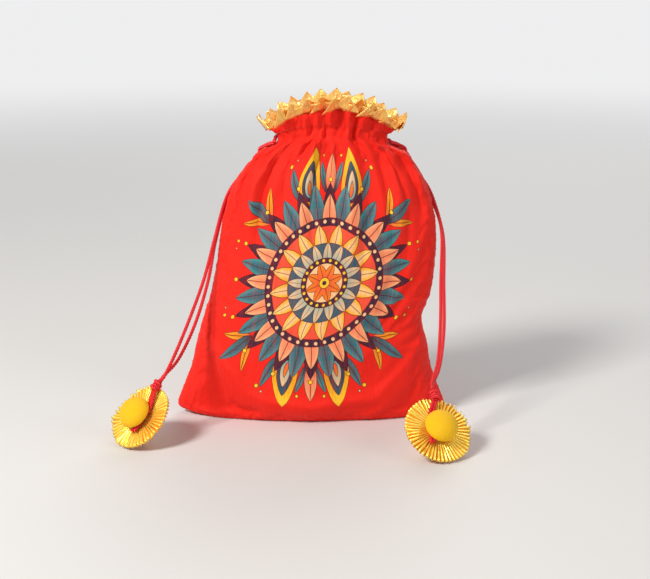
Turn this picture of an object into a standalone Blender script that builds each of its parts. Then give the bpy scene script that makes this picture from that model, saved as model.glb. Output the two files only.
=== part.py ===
"""A drawstring gift pouch (potli): two sewn cloth panels, gathered at the neck by two drawstrings.

Metres, +Z up. The origin is on the surface that the bag stands on, under the middle of its base.
The printed front faces -Y.
"""

import collections
import math

import bmesh
import bpy
from mathutils import Matrix, Vector

# Cloth, cord and the gap that is left between pieces that touch
CLOTH_THICKNESS = 0.0010
TOUCH_GAP = 0.0003
CORD_DIAMETER = 0.0023
TAPE_THICKNESS = 0.0005

# The bag's outline, from the side seams: left and right of the base's middle
BASE_HALF_WIDTH = 0.0915
BASE_HALF_DEPTH = 0.0165
BELLY_HALF_DEPTH = 0.0320
SHOULDER_LEFT = 0.0570
SHOULDER_RIGHT = 0.0830
SHOULDER_HALF_DEPTH = 0.0270

# The gathered neck, the ruffle that stands above its middle line and the gold trim on the ruffle's edge
NECK_MIDDLE = 0.0145
NECK_HALF_WIDTH = 0.0355
NECK_HALF_DEPTH = 0.0130
NECK_SIDE_HEIGHT = 0.1890
NECK_ARCH = 0.0060
CHANNEL_HALF_HEIGHT = 0.0036
MOUTH_HALF_WIDTH = 0.0398
MOUTH_HALF_DEPTH = 0.0135
RUFFLE_HEIGHT = 0.0070
MOUTH_ARCH = 0.0145
TRIM_HEIGHT = 0.0095
TRIM_NOTCH = 0.0060
TRIM_THICKNESS = 0.0007
TRIM_POINTS = 13
TRIM_LEAN = 0.85

# Gathers: how far the folds stand out, and from left to right how strong each one is and how much of it
# reaches down over the shoulder
NECK_FOLD = 0.0021
MOUTH_FOLD = 0.0044
BODY_FOLD = 0.0034
FOLD_STRENGTHS = (0.40, 0.80, 0.65, 1.00, 0.70, 1.30, 1.10, 0.75, 0.40)
FOLD_REACHES = (0.60, 1.30, 0.45, 0.60, 1.00, 1.10, 0.50, 1.30, 0.60)

# A tassel: a pleated gold ruffle between two covered buttons
RUFFLE_RADIUS = 0.0220
RUFFLE_HOLE_RADIUS = 0.0022
RUFFLE_THICKNESS = 0.0005
RUFFLE_PLEATS = 31
RUFFLE_PLEAT_HEIGHT = 0.0014
RUFFLE_HUB_PLEAT_HEIGHT = 0.0004
BUTTON_RADIUS = 0.0107
BUTTON_HEIGHT = 0.0086
BUTTON_SHANK_RADIUS = 0.0030
KNOT_RADIUS = 0.0031
KNOT_HALF_LENGTH = 0.0042
TAIL_DIAMETER = 0.0030

# Where the tassels stand: the ruffle's centre on the floor plan, the way its front button faces, and the
# way its cord leaves it
LEFT_TASSEL_PLACE = (-0.1092, -0.0560)
LEFT_TASSEL_FACES = (-0.502, -0.508, 0.697)
LEFT_TASSEL_CORD_WAY = (0.561, 0.366, 0.740)
RIGHT_TASSEL_PLACE = (0.0806, -0.0775)
RIGHT_TASSEL_FACES = (0.295, -0.615, 0.732)
RIGHT_TASSEL_CORD_WAY = (0.010, 0.368, 0.923)

# Mesh fineness
PANEL_COLUMNS = 4 * len(FOLD_STRENGTHS)
SECTION_SAMPLES = 160
TAPE_COLUMNS = 16
LANE_STEPS = 13
STRAND_SPACING = 0.0068
TURNED_STEPS = 12

# Colours, as linear red, green and blue
CLOTH_RED = (0.79, 0.022, 0.018)
LINING_RED = (0.55, 0.012, 0.012)
CORD_RED = (0.60, 0.010, 0.022)
GOLD = (0.83, 0.47, 0.09)
BUTTON_YELLOW = (0.95, 0.47, 0.005)

# One level of the bag. Its left and right are the side seams, its depth is measured in the middle, its two
# heights are those of the seams and of the middle, and flat is the share that keeps the middle's height.
Level = collections.namedtuple("Level", "left right depth side_z middle_z roundness flat")


def bag_levels():
    """The levels from the bottom seam, along the base, up the belly, and through the neck to the mouth."""
    base, belly = BASE_HALF_WIDTH, BELLY_HALF_DEPTH
    neck_left, neck_right = NECK_MIDDLE - NECK_HALF_WIDTH, NECK_MIDDLE + NECK_HALF_WIDTH
    mouth_left, mouth_right = NECK_MIDDLE - MOUTH_HALF_WIDTH, NECK_MIDDLE + MOUTH_HALF_WIDTH
    neck, arch, channel = NECK_SIDE_HEIGHT, NECK_ARCH, CHANNEL_HALF_HEIGHT
    mouth = neck + RUFFLE_HEIGHT
    ruffle_middle = (neck + channel + mouth) / 2
    ruffle_arch = (arch + MOUTH_ARCH) / 2
    return [
        Level(-base + 0.0030, base - 0.0030, TOUCH_GAP / 2, 0.0025, 0.0000, 1.7, 0.62),
        Level(-base + 0.0010, base - 0.0010, BASE_HALF_DEPTH, 0.0045, 0.0000, 1.7, 0.62),
        Level(-base, base, BASE_HALF_DEPTH + 0.0040, 0.0070, 0.0013, 1.7, 0.60),
        Level(-base + 0.0015, base - 0.0015, BASE_HALF_DEPTH + 0.0075, 0.0120, 0.0070, 1.7, 0.50),
        Level(-base + 0.0055, base - 0.0055, belly - 0.0045, 0.0220, 0.0190, 1.75, 0.30),
        Level(-base + 0.0105, base - 0.0100, belly - 0.0020, 0.0350, 0.0340, 1.8, 0.00),
        Level(-base + 0.0140, base - 0.0125, belly - 0.0005, 0.0500, 0.0500, 1.8, 0.00),
        Level(-base + 0.0190, base - 0.0165, belly, 0.0680, 0.0680, 1.8, 0.00),
        Level(-base + 0.0245, base - 0.0110, belly - 0.0005, 0.0850, 0.0860, 1.85, 0.00),
        Level(-SHOULDER_LEFT - 0.0055, SHOULDER_RIGHT, belly - 0.0015, 0.1060, 0.1080, 1.9, 0.00),
        Level(-SHOULDER_LEFT - 0.0030, SHOULDER_RIGHT + 0.0005, belly - 0.0030, 0.1230, 0.1270, 1.95, 0.00),
        Level(-SHOULDER_LEFT, SHOULDER_RIGHT - 0.0010, SHOULDER_HALF_DEPTH, 0.1390, 0.1450, 2.0, 0.00),
        Level(-SHOULDER_LEFT + 0.0075, SHOULDER_RIGHT - 0.0070, SHOULDER_HALF_DEPTH - 0.0050,
              0.1600, 0.1670, 2.1, 0.00),
        Level(neck_left - 0.0140, neck_right + 0.0140, NECK_HALF_DEPTH + 0.0035,
              neck - 0.0110, neck + arch - 0.0130, 2.3, 0.00),
        Level(neck_left - 0.0030, neck_right + 0.0030, NECK_HALF_DEPTH + 0.0005,
              neck - channel - 0.0015, neck + arch - channel - 0.0015, 2.5, 0.00),
        Level(neck_left - 0.0008, neck_right + 0.0008, NECK_HALF_DEPTH,
              neck - channel, neck + arch - channel, 2.6, 0.00),
        Level(neck_left, neck_right, NECK_HALF_DEPTH, neck, neck + arch, 2.6, 0.00),
        Level(neck_left - 0.0008, neck_right + 0.0008, NECK_HALF_DEPTH,
              neck + channel, neck + arch + channel, 2.6, 0.00),
        Level((neck_left + mouth_left) / 2, (neck_right + mouth_right) / 2,
              (NECK_HALF_DEPTH + MOUTH_HALF_DEPTH) / 2, ruffle_middle + 0.0010,
              ruffle_middle + ruffle_arch + 0.0010, 2.4, 0.00),
        Level(mouth_left, mouth_right, MOUTH_HALF_DEPTH, mouth, mouth + MOUTH_ARCH, 2.2, 0.00),
    ]


LEVELS = bag_levels()
CHANNEL_BOTTOM, NECK, CHANNEL_TOP, MOUTH = 15, 16, 17, 19
PANEL_ROWS = [0, 1, 2, 3, 4, 5, 6.5, 8, 9, 10.5, 11.5, 12.5, 13, 14, 15, 16, 17, 18, 19]
# How far the folds stand out at some of the levels
FOLD_HEIGHTS = ((9, 0.0), (11, 0.15 * BODY_FOLD), (12, 0.55 * BODY_FOLD), (13, BODY_FOLD), (15, NECK_FOLD),
                (17, NECK_FOLD), (MOUTH, MOUTH_FOLD))


def between(points, x):
    """The value at x of a line through (x, value) points, level beyond its ends."""
    if x <= points[0][0]:
        return points[0][1]
    for (x0, y0), (x1, y1) in zip(points, points[1:]):
        if x <= x1:
            return y0 + (y1 - y0) * (x - x0) / (x1 - x0)
    return points[-1][1]


def smooth_between(a, b, c, d, share):
    """A Catmull-Rom curve's value between b and c."""
    return 0.5 * (2 * b + (c - a) * share + (2 * a - 5 * b + 4 * c - d) * share**2
                  + (3 * b - a - 3 * c + d) * share**3)


def level_at(t):
    """The level at t, which counts levels and may lie between two of them."""
    first = min(int(t), len(LEVELS) - 2)
    near = [LEVELS[min(max(i, 0), len(LEVELS) - 1)] for i in range(first - 1, first + 3)]
    return Level(*(smooth_between(*values, t - first) for values in zip(*near)))


def oval(level, samples=SECTION_SAMPLES):
    """(x, y) points round half of a level, from the left seam to the right one, with y from 0 up."""
    middle, half = (level.left + level.right) / 2, (level.right - level.left) / 2
    points = []
    for i in range(samples + 1):
        angle = math.pi * i / samples
        c, s = math.cos(angle), max(math.sin(angle), 0.0)
        points.append(Vector((middle - half * math.copysign(abs(c) ** (2 / level.roundness), c),
                              level.depth * s ** (2 / level.roundness))))
    return points


def evenly(points, count):
    """count points at equal distances along a line."""
    along = [0.0]
    for a, b in zip(points, points[1:]):
        along.append(along[-1] + (b - a).length)
    found, i = [], 0
    for k in range(count):
        at = along[-1] * k / (count - 1)
        while i < len(points) - 2 and along[i + 1] < at:
            i += 1
        found.append(points[i].lerp(points[i + 1], (at - along[i]) / max(along[i + 1] - along[i], 1e-12)))
    return found


def seam_gap(t, line):
    """Half of the panels' gap at a side seam. It opens at the channel, to let two cords out."""
    open_gap = 1.5 * TOUCH_GAP + CORD_DIAMETER
    across = line[3] - line[0]
    sewn = TOUCH_GAP / 2 + CLOTH_THICKNESS * abs(across.x) / across.length
    return open_gap if CHANNEL_BOTTOM <= t <= CHANNEL_TOP else sewn


def normals_of(line):
    """The outward normal at each point of a half oval."""
    found = []
    for i in range(len(line)):
        along = line[min(i + 1, len(line) - 1)] - line[max(i - 1, 0)]
        found.append(Vector((-along.y, along.x)).normalized())
    return found


def fold_height(t, u):
    """How far the cloth stands out at level t, at a share u of a panel's width."""
    folds = len(FOLD_STRENGTHS)
    fold = min(int(u * folds), folds - 1)
    reach = between(((11.5, FOLD_REACHES[fold]), (13.5, 1.0)), t)
    wave = (1 - math.cos(2 * math.pi * folds * u)) / 2
    return between(FOLD_HEIGHTS, t) * FOLD_STRENGTHS[fold] * reach * wave


def height_at(level, x):
    """The height of a level at x: it leaves the middle's height beyond the flat share."""
    middle, half = (level.left + level.right) / 2, (level.right - level.left) / 2
    out = min(abs(x - middle) / half, 1.0)
    rise = max(0.0, (out - level.flat) / (1 - level.flat)) ** 2
    return level.middle_z + (level.side_z - level.middle_z) * rise


def sheet_row(t, columns, inward=0.0, folded=True):
    """One row of points of the front panel, as (x, y, z), from the left seam to the right one."""
    level = level_at(t)
    line = oval(level)
    gap = seam_gap(t, line)
    if level.depth > gap:
        line = [p for p in line if p.y >= gap]
    line = evenly(line, columns + 1)
    row = []
    for i, (p, normal) in enumerate(zip(line, normals_of(line))):
        p = p + normal * (folded * fold_height(t, i / columns) - inward)
        row.append(Vector((p.x, -p.y, height_at(level, p.x))))
    return row


def material(name, colour, roughness, metallic=0.0):
    made = bpy.data.materials.new(name)
    made.use_nodes = True
    shader = made.node_tree.nodes["Principled BSDF"]
    shader.inputs["Base Color"].default_value = (*colour, 1)
    shader.inputs["Roughness"].default_value = roughness
    shader.inputs["Metallic"].default_value = metallic
    made.diffuse_color = (*colour, 1)
    return made


def empty_collection(name):
    made = bpy.data.collections.new(name)
    bpy.context.scene.collection.children.link(made)
    return made


def add_object(name, mesh, collection, *materials):
    made = bpy.data.objects.new(name, mesh)
    collection.objects.link(made)
    for one in materials:
        mesh.materials.append(one)
    return made


def sheet_mesh(name, rows, thickness):
    """A closed sheet of cloth: a grid that follows rows of points and thickens away from its outer face."""
    bm = bmesh.new()
    columns = len(rows[0]) - 1
    bmesh.ops.create_grid(bm, x_segments=columns, y_segments=len(rows) - 1, size=0.5)
    bm.verts.ensure_lookup_table()
    for vertex, point in zip(bm.verts, [p for row in rows for p in row]):
        vertex.co = point
    bm.normal_update()
    mesh = bpy.data.meshes.new(name)
    bm.to_mesh(mesh)
    bm.free()
    grid = bpy.data.objects.new(name + "_grid", mesh)
    bpy.context.scene.collection.objects.link(grid)
    thicken = grid.modifiers.new("Cloth", "SOLIDIFY")
    thicken.thickness = thickness
    thicken.offset = -1
    graph = bpy.context.evaluated_depsgraph_get()
    solid = bpy.data.meshes.new_from_object(grid.evaluated_get(graph))
    solid.name = name
    bpy.data.objects.remove(grid)
    return solid


def keep_to_own_side(mesh):
    """The front panel's points stay on its side of the seam's gap."""
    for vertex in mesh.vertices:
        vertex.co.y = min(vertex.co.y, -TOUCH_GAP / 2)


def turned_to_back(mesh, name):
    """The back's copy of a front piece: the same cut, mirrored through the seams."""
    back = mesh.copy()
    back.name = name
    back.transform(Matrix.Diagonal((1, -1, 1, 1)))
    back.flip_normals()
    return back


def make_panels(collection):
    cloth = material("red_cloth", CLOTH_RED, 0.55)
    front = sheet_mesh("front_panel", [sheet_row(t, PANEL_COLUMNS) for t in PANEL_ROWS], CLOTH_THICKNESS)
    keep_to_own_side(front)
    front.shade_smooth()
    back = turned_to_back(front, "back_panel")
    add_object("front_panel", front, collection, cloth)
    add_object("back_panel", back, collection, cloth)


def make_channel_tapes(collection):
    """The inner walls of the drawstring channel: a tape along each panel's inside, sewn at both edges."""
    lining = material("lining_red", LINING_RED, 0.7)
    seat = CLOTH_THICKNESS + TOUCH_GAP
    over_cords = seat + 1.6 * TOUCH_GAP + CORD_DIAMETER
    profile = ((14.3, seat), (15.2, over_cords), (16, over_cords), (16.8, over_cords), (17.6, seat))
    end = 2
    rows = [sheet_row(t, TAPE_COLUMNS, inward, folded=False)[end:-end] for t, inward in profile]
    front = sheet_mesh("front_channel_tape", rows, TAPE_THICKNESS)
    front.shade_smooth()
    back = turned_to_back(front, "back_channel_tape")
    add_object("front_channel_tape", front, collection, lining)
    add_object("back_channel_tape", back, collection, lining)


def make_trims(collection):
    """The pointed gold trim stands on each panel's mouth edge, where it is sewn on."""
    gold = material("gold_trim", GOLD, 0.3, 0.9)
    inset, columns, count = (CLOTH_THICKNESS - TRIM_THICKNESS) / 2, PANEL_COLUMNS, TRIM_POINTS * 4 + 1
    edge = evenly(sheet_row(MOUTH, columns, inset), count)
    below = evenly(sheet_row(MOUTH - 0.5, columns, inset), count)
    smooth = evenly(sheet_row(MOUTH, columns, folded=False), count)
    outside = evenly(sheet_row(MOUTH, columns, -MOUTH_FOLD, folded=False), count)
    foot, top = [], []
    for i, (p, under, inner, outer) in enumerate(zip(edge, below, smooth, outside)):
        outward = Vector((outer.x - inner.x, outer.y - inner.y, 0)).normalized()
        way = (outward * TRIM_LEAN + Vector((0, 0, 1))).normalized()
        notch_share = abs((i % 4) - 2) / 2
        foot.append(p + (p - under).normalized() * 2 * TOUCH_GAP)
        top.append(foot[-1] + way * (TRIM_HEIGHT - (TRIM_HEIGHT - TRIM_NOTCH) * notch_share))
    front = sheet_mesh("front_trim", [foot, top], TRIM_THICKNESS)
    keep_to_own_side(front)
    back = turned_to_back(front, "back_trim")
    add_object("front_trim", front, collection, gold)
    add_object("back_trim", back, collection, gold)


def lane(height):
    """The closed oval that a cord follows in the channel, from the left tip along the front, and back."""
    level = level_at(NECK)
    inward = CLOTH_THICKNESS + 1.4 * TOUCH_GAP + CORD_DIAMETER / 2
    line = oval(level, LANE_STEPS * 12)
    normals = normals_of(line)
    picked = [i * 12 for i in range(LANE_STEPS + 1)]
    half = [line[i] - normals[i] * inward for i in picked]
    front = [Vector((p.x, -p.y, height_at(level, p.x) + height)) for p in half]
    back = [Vector((p.x, -p.y, p.z)) for p in reversed(front[1:-1])]
    return front, back


def beside_bag(side, t, y, away):
    """The point that is away from the bag's outside at level t, at y behind the side seam."""
    level, above, below = level_at(t), level_at(t + 0.2), level_at(t - 0.2)
    row = sheet_row(t, PANEL_COLUMNS)[::-side]
    i = next(i for i in range(1, len(row)) if abs(row[i].y) > abs(y))
    on = row[i - 1].lerp(row[i], max(0.0, (abs(y) - abs(row[i - 1].y)) / abs(row[i].y - row[i - 1].y)))
    half, slope = (level.right - level.left) / 2, level.roundness - 1
    out_x = max(0.0, 1 - (abs(y) / level.depth) ** level.roundness) ** (slope / level.roundness) / half
    out_y = math.copysign((abs(y) / level.depth) ** slope / level.depth, y)
    widening = side * (above.right - below.right if side > 0 else above.left - below.left)
    out = Vector((side * out_x, out_y, 0)).normalized()
    out = (out - Vector((0, 0, widening / (above.side_z - below.side_z)))).normalized()
    return Vector((on.x, y, on.z)) + out * away


def over_shoulder(side, across):
    """Points on which a strand lies outside the bag, from the channel's end down behind the shoulder."""
    away = CORD_DIAMETER / 2 + 3 * TOUCH_GAP
    return [beside_bag(side, t, across + behind, away) for t, behind in STRAND_PLACES]


def smooth_route(points, spacing):
    """Points every spacing along a smooth curve through the given ones."""
    fine = []
    padded = [points[0], *points, points[-1]]
    for near in zip(padded, padded[1:], padded[2:], padded[3:]):
        for step in range(8):
            fine.append(Vector([smooth_between(*values, step / 8) for values in zip(*near)]))
    fine.append(points[-1])
    length = sum((b - a).length for a, b in zip(fine, fine[1:]))
    return evenly(fine, max(2, round(length / spacing) + 1))


def tube(name, points, diameter, collection, finish):
    curve = bpy.data.curves.new(name, "CURVE")
    curve.dimensions = "3D"
    curve.bevel_depth = diameter / 2
    curve.bevel_resolution = 2
    curve.use_fill_caps = True
    spline = curve.splines.new("POLY")
    spline.points.add(len(points) - 1)
    for one, point in zip(spline.points, points):
        one.co = (*point, 1)
        one.tilt = 0
    return add_object(name, curve, collection, finish)


def make_drawstring(side, name, knot, free_points, collection, finish):
    """One cord: up from its knot, over the shoulder, round the channel, and back down to the knot.

    The left cord runs in the channel's upper lane and the right one in its lower lane, so that each turns
    round inside the other's way out.
    """
    height = -side * (CORD_DIAMETER + 1.5 * TOUCH_GAP) / 2
    front, back = lane(height)
    apart = CORD_DIAMETER / 2 + 0.8 * TOUCH_GAP
    if side < 0:
        round_channel = front[2:] + back[:-1]
    else:
        round_channel = list(reversed(front[:-2])) + list(reversed(back[1:]))
    neck = level_at(NECK)
    x_tip = neck.left if side < 0 else neck.right
    knot_end, knot_way = knot
    knot_across = (Vector((0, 1, 0)) - knot_way * knot_way.y).normalized() * apart
    strands = []
    for front_or_back, points in ((-1, free_points[0]), (1, free_points[1])):
        across = front_or_back * apart
        inside, leaving = (Vector((x_tip + side * out, across * spread,
                                   height_at(neck, x_tip + side * out) + height))
                           for out, spread in ((-1.5 * CORD_DIAMETER, 1.15), (0.6 * CORD_DIAMETER, 1.0)))
        ends = [knot_end + knot_way * out + knot_across * front_or_back
                for out in (KNOT_HALF_LENGTH, TOUCH_GAP)]
        outside = [leaving, *over_shoulder(side, across), *map(Vector, points), *ends]
        strands.append([inside, *smooth_route(outside, STRAND_SPACING)])
    route = list(reversed(strands[0])) + round_channel + strands[1]
    tube(name, route, CORD_DIAMETER, collection, finish)


def axes_of(faces, cord_way):
    """A tassel's own axes: z out of the front button, y towards its cord."""
    z = Vector(faces).normalized()
    y = Vector(cord_way)
    y = (y - z * y.dot(z)).normalized()
    x = y.cross(z)
    return Matrix((x, y, z)).transposed()


def ruffle_rows():
    """Rings of points of the pleated ruffle, from its hole to its rim, in the tassel's own axes."""
    columns = RUFFLE_PLEATS * 2
    rows = []
    for share in (0.0, 1.0):
        radius = RUFFLE_HOLE_RADIUS + (RUFFLE_RADIUS - RUFFLE_HOLE_RADIUS) * share
        height = RUFFLE_HUB_PLEAT_HEIGHT + (RUFFLE_PLEAT_HEIGHT - RUFFLE_HUB_PLEAT_HEIGHT) * share
        ring = []
        for i in range(columns):
            angle = 2 * math.pi * i / columns
            z = height * (1 if i % 2 else -1)
            ring.append(Vector((radius * math.cos(angle), radius * math.sin(angle), z)))
        rows.append(ring)
    return rows


def ruffle_mesh(name):
    """The ruffle: a ring of pleats, thickened about its middle."""
    bm = bmesh.new()
    rows = [[bm.verts.new(p) for p in ring] for ring in ruffle_rows()]
    for inner, outer in zip(rows, rows[1:]):
        for i in range(len(inner)):
            after = (i + 1) % len(inner)
            bm.faces.new((inner[i], outer[i], outer[after], inner[after]))
    bm.normal_update()
    mesh = bpy.data.meshes.new(name)
    bm.to_mesh(mesh)
    bm.free()
    return mesh


def button_profile(seat):
    """A covered button's outline as (radius, height), from its crown down its outer side to its shank."""
    rim = seat + 0.0010
    points = [(BUTTON_RADIUS * math.sin(math.radians(a)), rim + BUTTON_HEIGHT * math.cos(math.radians(a)))
              for a in (0, 18, 36, 54, 72, 90)]
    return points + [(BUTTON_RADIUS - 0.0012, seat), (BUTTON_SHANK_RADIUS, seat)]


def turned(name, profile, collection, finish):
    """A solid turned about its own Z from an outline that starts and ends on the axis."""
    mesh = bpy.data.meshes.new(name)
    mesh.from_pydata([(r, 0, z) for r, z in profile], [(i, i + 1) for i in range(len(profile) - 1)], [])
    made = add_object(name, mesh, collection, finish)
    screw = made.modifiers.new("Turned", "SCREW")
    screw.steps = screw.render_steps = TURNED_STEPS
    screw.use_merge_vertices = True
    screw.merge_threshold = 0.00001
    screw.use_smooth_shade = True
    return made


def pleat_top(radius):
    """How high the ruffle's pleats stand at a radius, above its middle."""
    share = (radius - RUFFLE_HOLE_RADIUS) / (RUFFLE_RADIUS - RUFFLE_HOLE_RADIUS)
    height = RUFFLE_HUB_PLEAT_HEIGHT + (RUFFLE_PLEAT_HEIGHT - RUFFLE_HUB_PLEAT_HEIGHT) * share
    return height + RUFFLE_THICKNESS / 2


def make_tassel(name, place, faces, cord_way, tail_side, collection, finishes):
    """One tassel, standing on its ruffle's rim. It returns its knot's end and the way of the cord there."""
    axes = axes_of(faces, cord_way)
    deepest = min((axes @ p).z for ring in ruffle_rows() for p in ring)
    stand = bpy.data.objects.new(name, None)
    collection.objects.link(stand)
    stand.location = (*place, 0.6 * RUFFLE_THICKNESS - deepest)
    stand.rotation_mode = "QUATERNION"
    stand.rotation_quaternion = axes.to_quaternion()

    def on_tassel(piece):
        piece.parent = stand
        return piece

    pleats = ruffle_mesh(name + "_ruffle")
    ruffle = on_tassel(add_object(name + "_ruffle", pleats, collection, finishes["gold"]))
    thicken = ruffle.modifiers.new("Ribbon", "SOLIDIFY")
    thicken.thickness = RUFFLE_THICKNESS
    thicken.offset = 0

    on_pleats = pleat_top(BUTTON_RADIUS) + TOUCH_GAP
    on_hub = pleat_top(BUTTON_SHANK_RADIUS) + TOUCH_GAP
    front_seat = on_pleats + TAIL_DIAMETER + TOUCH_GAP
    on_tassel(turned(name + "_front_button",
                     button_profile(front_seat) + [(BUTTON_SHANK_RADIUS, on_hub), (0, on_hub)],
                     collection, finishes["yellow"]))
    back = on_tassel(turned(name + "_back_button",
                            button_profile(on_pleats) + [(BUTTON_SHANK_RADIUS, on_hub), (0, on_hub)],
                            collection, finishes["yellow"]))
    back.rotation_euler = (math.pi, 0, 0)

    knot_place = Vector((0, RUFFLE_RADIUS, pleat_top(RUFFLE_RADIUS) + TOUCH_GAP + KNOT_RADIUS))
    on_tassel(make_knot(name + "_knot", knot_place, collection, finishes["red"]))
    beside_shank = tail_side * (BUTTON_SHANK_RADIUS + TAIL_DIAMETER / 2 + 2 * TOUCH_GAP)
    tail_start = knot_place - Vector((0, KNOT_HALF_LENGTH + 2 * TOUCH_GAP, 0))
    under_button = on_pleats + TAIL_DIAMETER / 2
    tail_points = [tail_start, Vector((beside_shank * 0.6, BUTTON_RADIUS * 1.1, under_button + TOUCH_GAP)),
                   Vector((beside_shank, BUTTON_RADIUS * 0.55, under_button)),
                   Vector((beside_shank * 1.1, -BUTTON_RADIUS * 0.45, under_button)),
                   Vector((beside_shank * 1.3, -BUTTON_RADIUS, under_button))]
    on_tassel(tube(name + "_cord_tail", smooth_route(tail_points, STRAND_SPACING / 2), TAIL_DIAMETER,
                   collection, finishes["red"]))
    knot_end = knot_place + Vector((0, KNOT_HALF_LENGTH, 0))
    return Vector(stand.location) + axes @ knot_end, axes @ Vector((0, 1, 0))


def make_knot(name, place, collection, finish):
    """The knot that ties a drawstring's two ends, as one tight lump."""
    bm = bmesh.new()
    bmesh.ops.create_uvsphere(bm, u_segments=10, v_segments=7, radius=1.0)
    bmesh.ops.scale(bm, vec=(KNOT_RADIUS, KNOT_RADIUS, KNOT_HALF_LENGTH), verts=bm.verts)
    bmesh.ops.rotate(bm, cent=(0, 0, 0), matrix=Matrix.Rotation(math.pi / 2, 3, "X"), verts=bm.verts)
    mesh = bpy.data.meshes.new(name)
    bm.to_mesh(mesh)
    bm.free()
    mesh.shade_smooth()
    made = add_object(name, mesh, collection, finish)
    made.location = place
    return made


# Where the strands lie on the shoulders: the level, and how far behind the side seam
STRAND_PLACES = ((14.6, 0.0), (14.0, 0.0015), (13.5, 0.0045), (13.1, 0.0080), (12.7, 0.0110), (12.3, 0.0115),
                 (11.8, 0.0080), (11.3, 0.0035))

# The drawstrings' free stretches, from the shoulder to the tassel: the front strand's points, the back's
LEFT_FREE_POINTS = (
    ((-0.0632, -0.0060, 0.1230), (-0.0700, -0.0150, 0.0980), (-0.0790, -0.0260, 0.0740),
     (-0.0880, -0.0370, 0.0530)),
    ((-0.0632, -0.0010, 0.1200), (-0.0680, -0.0070, 0.0950), (-0.0760, -0.0190, 0.0690),
     (-0.0860, -0.0330, 0.0490)),
)
RIGHT_FREE_POINTS = (
    ((0.0868, -0.0050, 0.1270), (0.0858, -0.0180, 0.0980), (0.0846, -0.0350, 0.0730),
     (0.0820, -0.0510, 0.0530)),
    ((0.0882, 0.0005, 0.1240), (0.0884, -0.0110, 0.0940), (0.0876, -0.0280, 0.0670),
     (0.0835, -0.0470, 0.0480)),
)


def main():
    for old in list(bpy.data.objects):
        bpy.data.objects.remove(old)
    bag = empty_collection("drawstring_pouch")
    finishes = {
        "gold": material("gold_ribbon", GOLD, 0.3, 0.9),
        "yellow": material("button_yellow", BUTTON_YELLOW, 0.65),
        "red": material("cord_red", CORD_RED, 0.5),
    }
    make_panels(bag)
    make_channel_tapes(bag)
    make_trims(bag)
    left_knot = make_tassel("left_tassel", LEFT_TASSEL_PLACE, LEFT_TASSEL_FACES, LEFT_TASSEL_CORD_WAY,
                            1, bag, finishes)
    right_knot = make_tassel("right_tassel", RIGHT_TASSEL_PLACE, RIGHT_TASSEL_FACES, RIGHT_TASSEL_CORD_WAY,
                             -1, bag, finishes)
    make_drawstring(-1, "left_drawstring", left_knot, LEFT_FREE_POINTS, bag, finishes["red"])
    make_drawstring(1, "right_drawstring", right_knot, RIGHT_FREE_POINTS, bag, finishes["red"])


main()
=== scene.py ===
"""The looks of a drawstring gift pouch (potli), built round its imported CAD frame.

Metres, +Z up, and the printed front faces -Y. The file follows the pouch as it is sewn together: the two
cloth panels, the drawstring channel, the gold trim, the drawstrings, and the tassels at their ends.
"""

import collections
import functools
import math

import bpy
from mathutils import Matrix, Vector, noise


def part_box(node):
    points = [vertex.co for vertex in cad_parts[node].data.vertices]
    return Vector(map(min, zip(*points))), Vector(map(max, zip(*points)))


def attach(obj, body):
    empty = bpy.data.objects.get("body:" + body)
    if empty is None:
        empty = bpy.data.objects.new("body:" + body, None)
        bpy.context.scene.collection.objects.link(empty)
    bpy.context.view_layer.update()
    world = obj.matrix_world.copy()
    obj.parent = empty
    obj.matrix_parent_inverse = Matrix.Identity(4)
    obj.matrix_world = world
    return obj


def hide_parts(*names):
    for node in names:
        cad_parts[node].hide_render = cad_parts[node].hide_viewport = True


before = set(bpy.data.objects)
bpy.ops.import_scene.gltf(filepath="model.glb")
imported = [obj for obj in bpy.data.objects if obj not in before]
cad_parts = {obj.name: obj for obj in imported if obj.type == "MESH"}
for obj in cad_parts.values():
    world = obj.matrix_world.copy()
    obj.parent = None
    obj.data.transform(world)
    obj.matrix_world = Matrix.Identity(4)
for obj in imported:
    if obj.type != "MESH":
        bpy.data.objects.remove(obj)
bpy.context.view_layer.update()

# The view. The camera stands where the photo was taken from, a little above the pouch. The pouch stands on
# a plain pale floor, in the soft light of three large lamps and a pale room.
CAMERA_AIM = Vector((0.0097, 0.0, 0.087))
CAMERA_DISTANCE = 0.85
CAMERA_ELEVATION = math.radians(15)
CAMERA_LENS = 70.05
CAMERA_SENSOR = 36
FLOOR_HALF_WIDTH = 4.0
FLOOR_COLOUR = (0.70, 0.69, 0.67)
FLOOR_ROUGHNESS = 0.6
FLOOR_FADES = (0.30, 0.6 * FLOOR_HALF_WIDTH)
ROOM_COLOUR = (0.86, 0.86, 0.87)
ROOM_GLOW = 0.30

scene = bpy.context.scene
scene.view_settings.view_transform = "Standard"

camera = bpy.data.objects.new("camera", bpy.data.cameras.new("camera"))
scene.collection.objects.link(camera)
camera.data.lens = CAMERA_LENS
camera.data.sensor_width = CAMERA_SENSOR
camera.location = CAMERA_AIM + CAMERA_DISTANCE * Vector(
    (0, -math.cos(CAMERA_ELEVATION), math.sin(CAMERA_ELEVATION)))
camera.rotation_euler = (math.pi / 2 - CAMERA_ELEVATION, 0, 0)
scene.camera = camera


def soft_lamp(name, place, width, watts, colour=(1, 1, 1)):
    """A large square lamp that faces the pouch."""
    lamp = bpy.data.objects.new(name, bpy.data.lights.new(name, "AREA"))
    scene.collection.objects.link(lamp)
    lamp.data.size = width
    lamp.data.energy = watts
    lamp.data.color = colour
    lamp.location = place
    lamp.rotation_euler = (CAMERA_AIM - Vector(place)).to_track_quat("-Z", "Y").to_euler()


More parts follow.
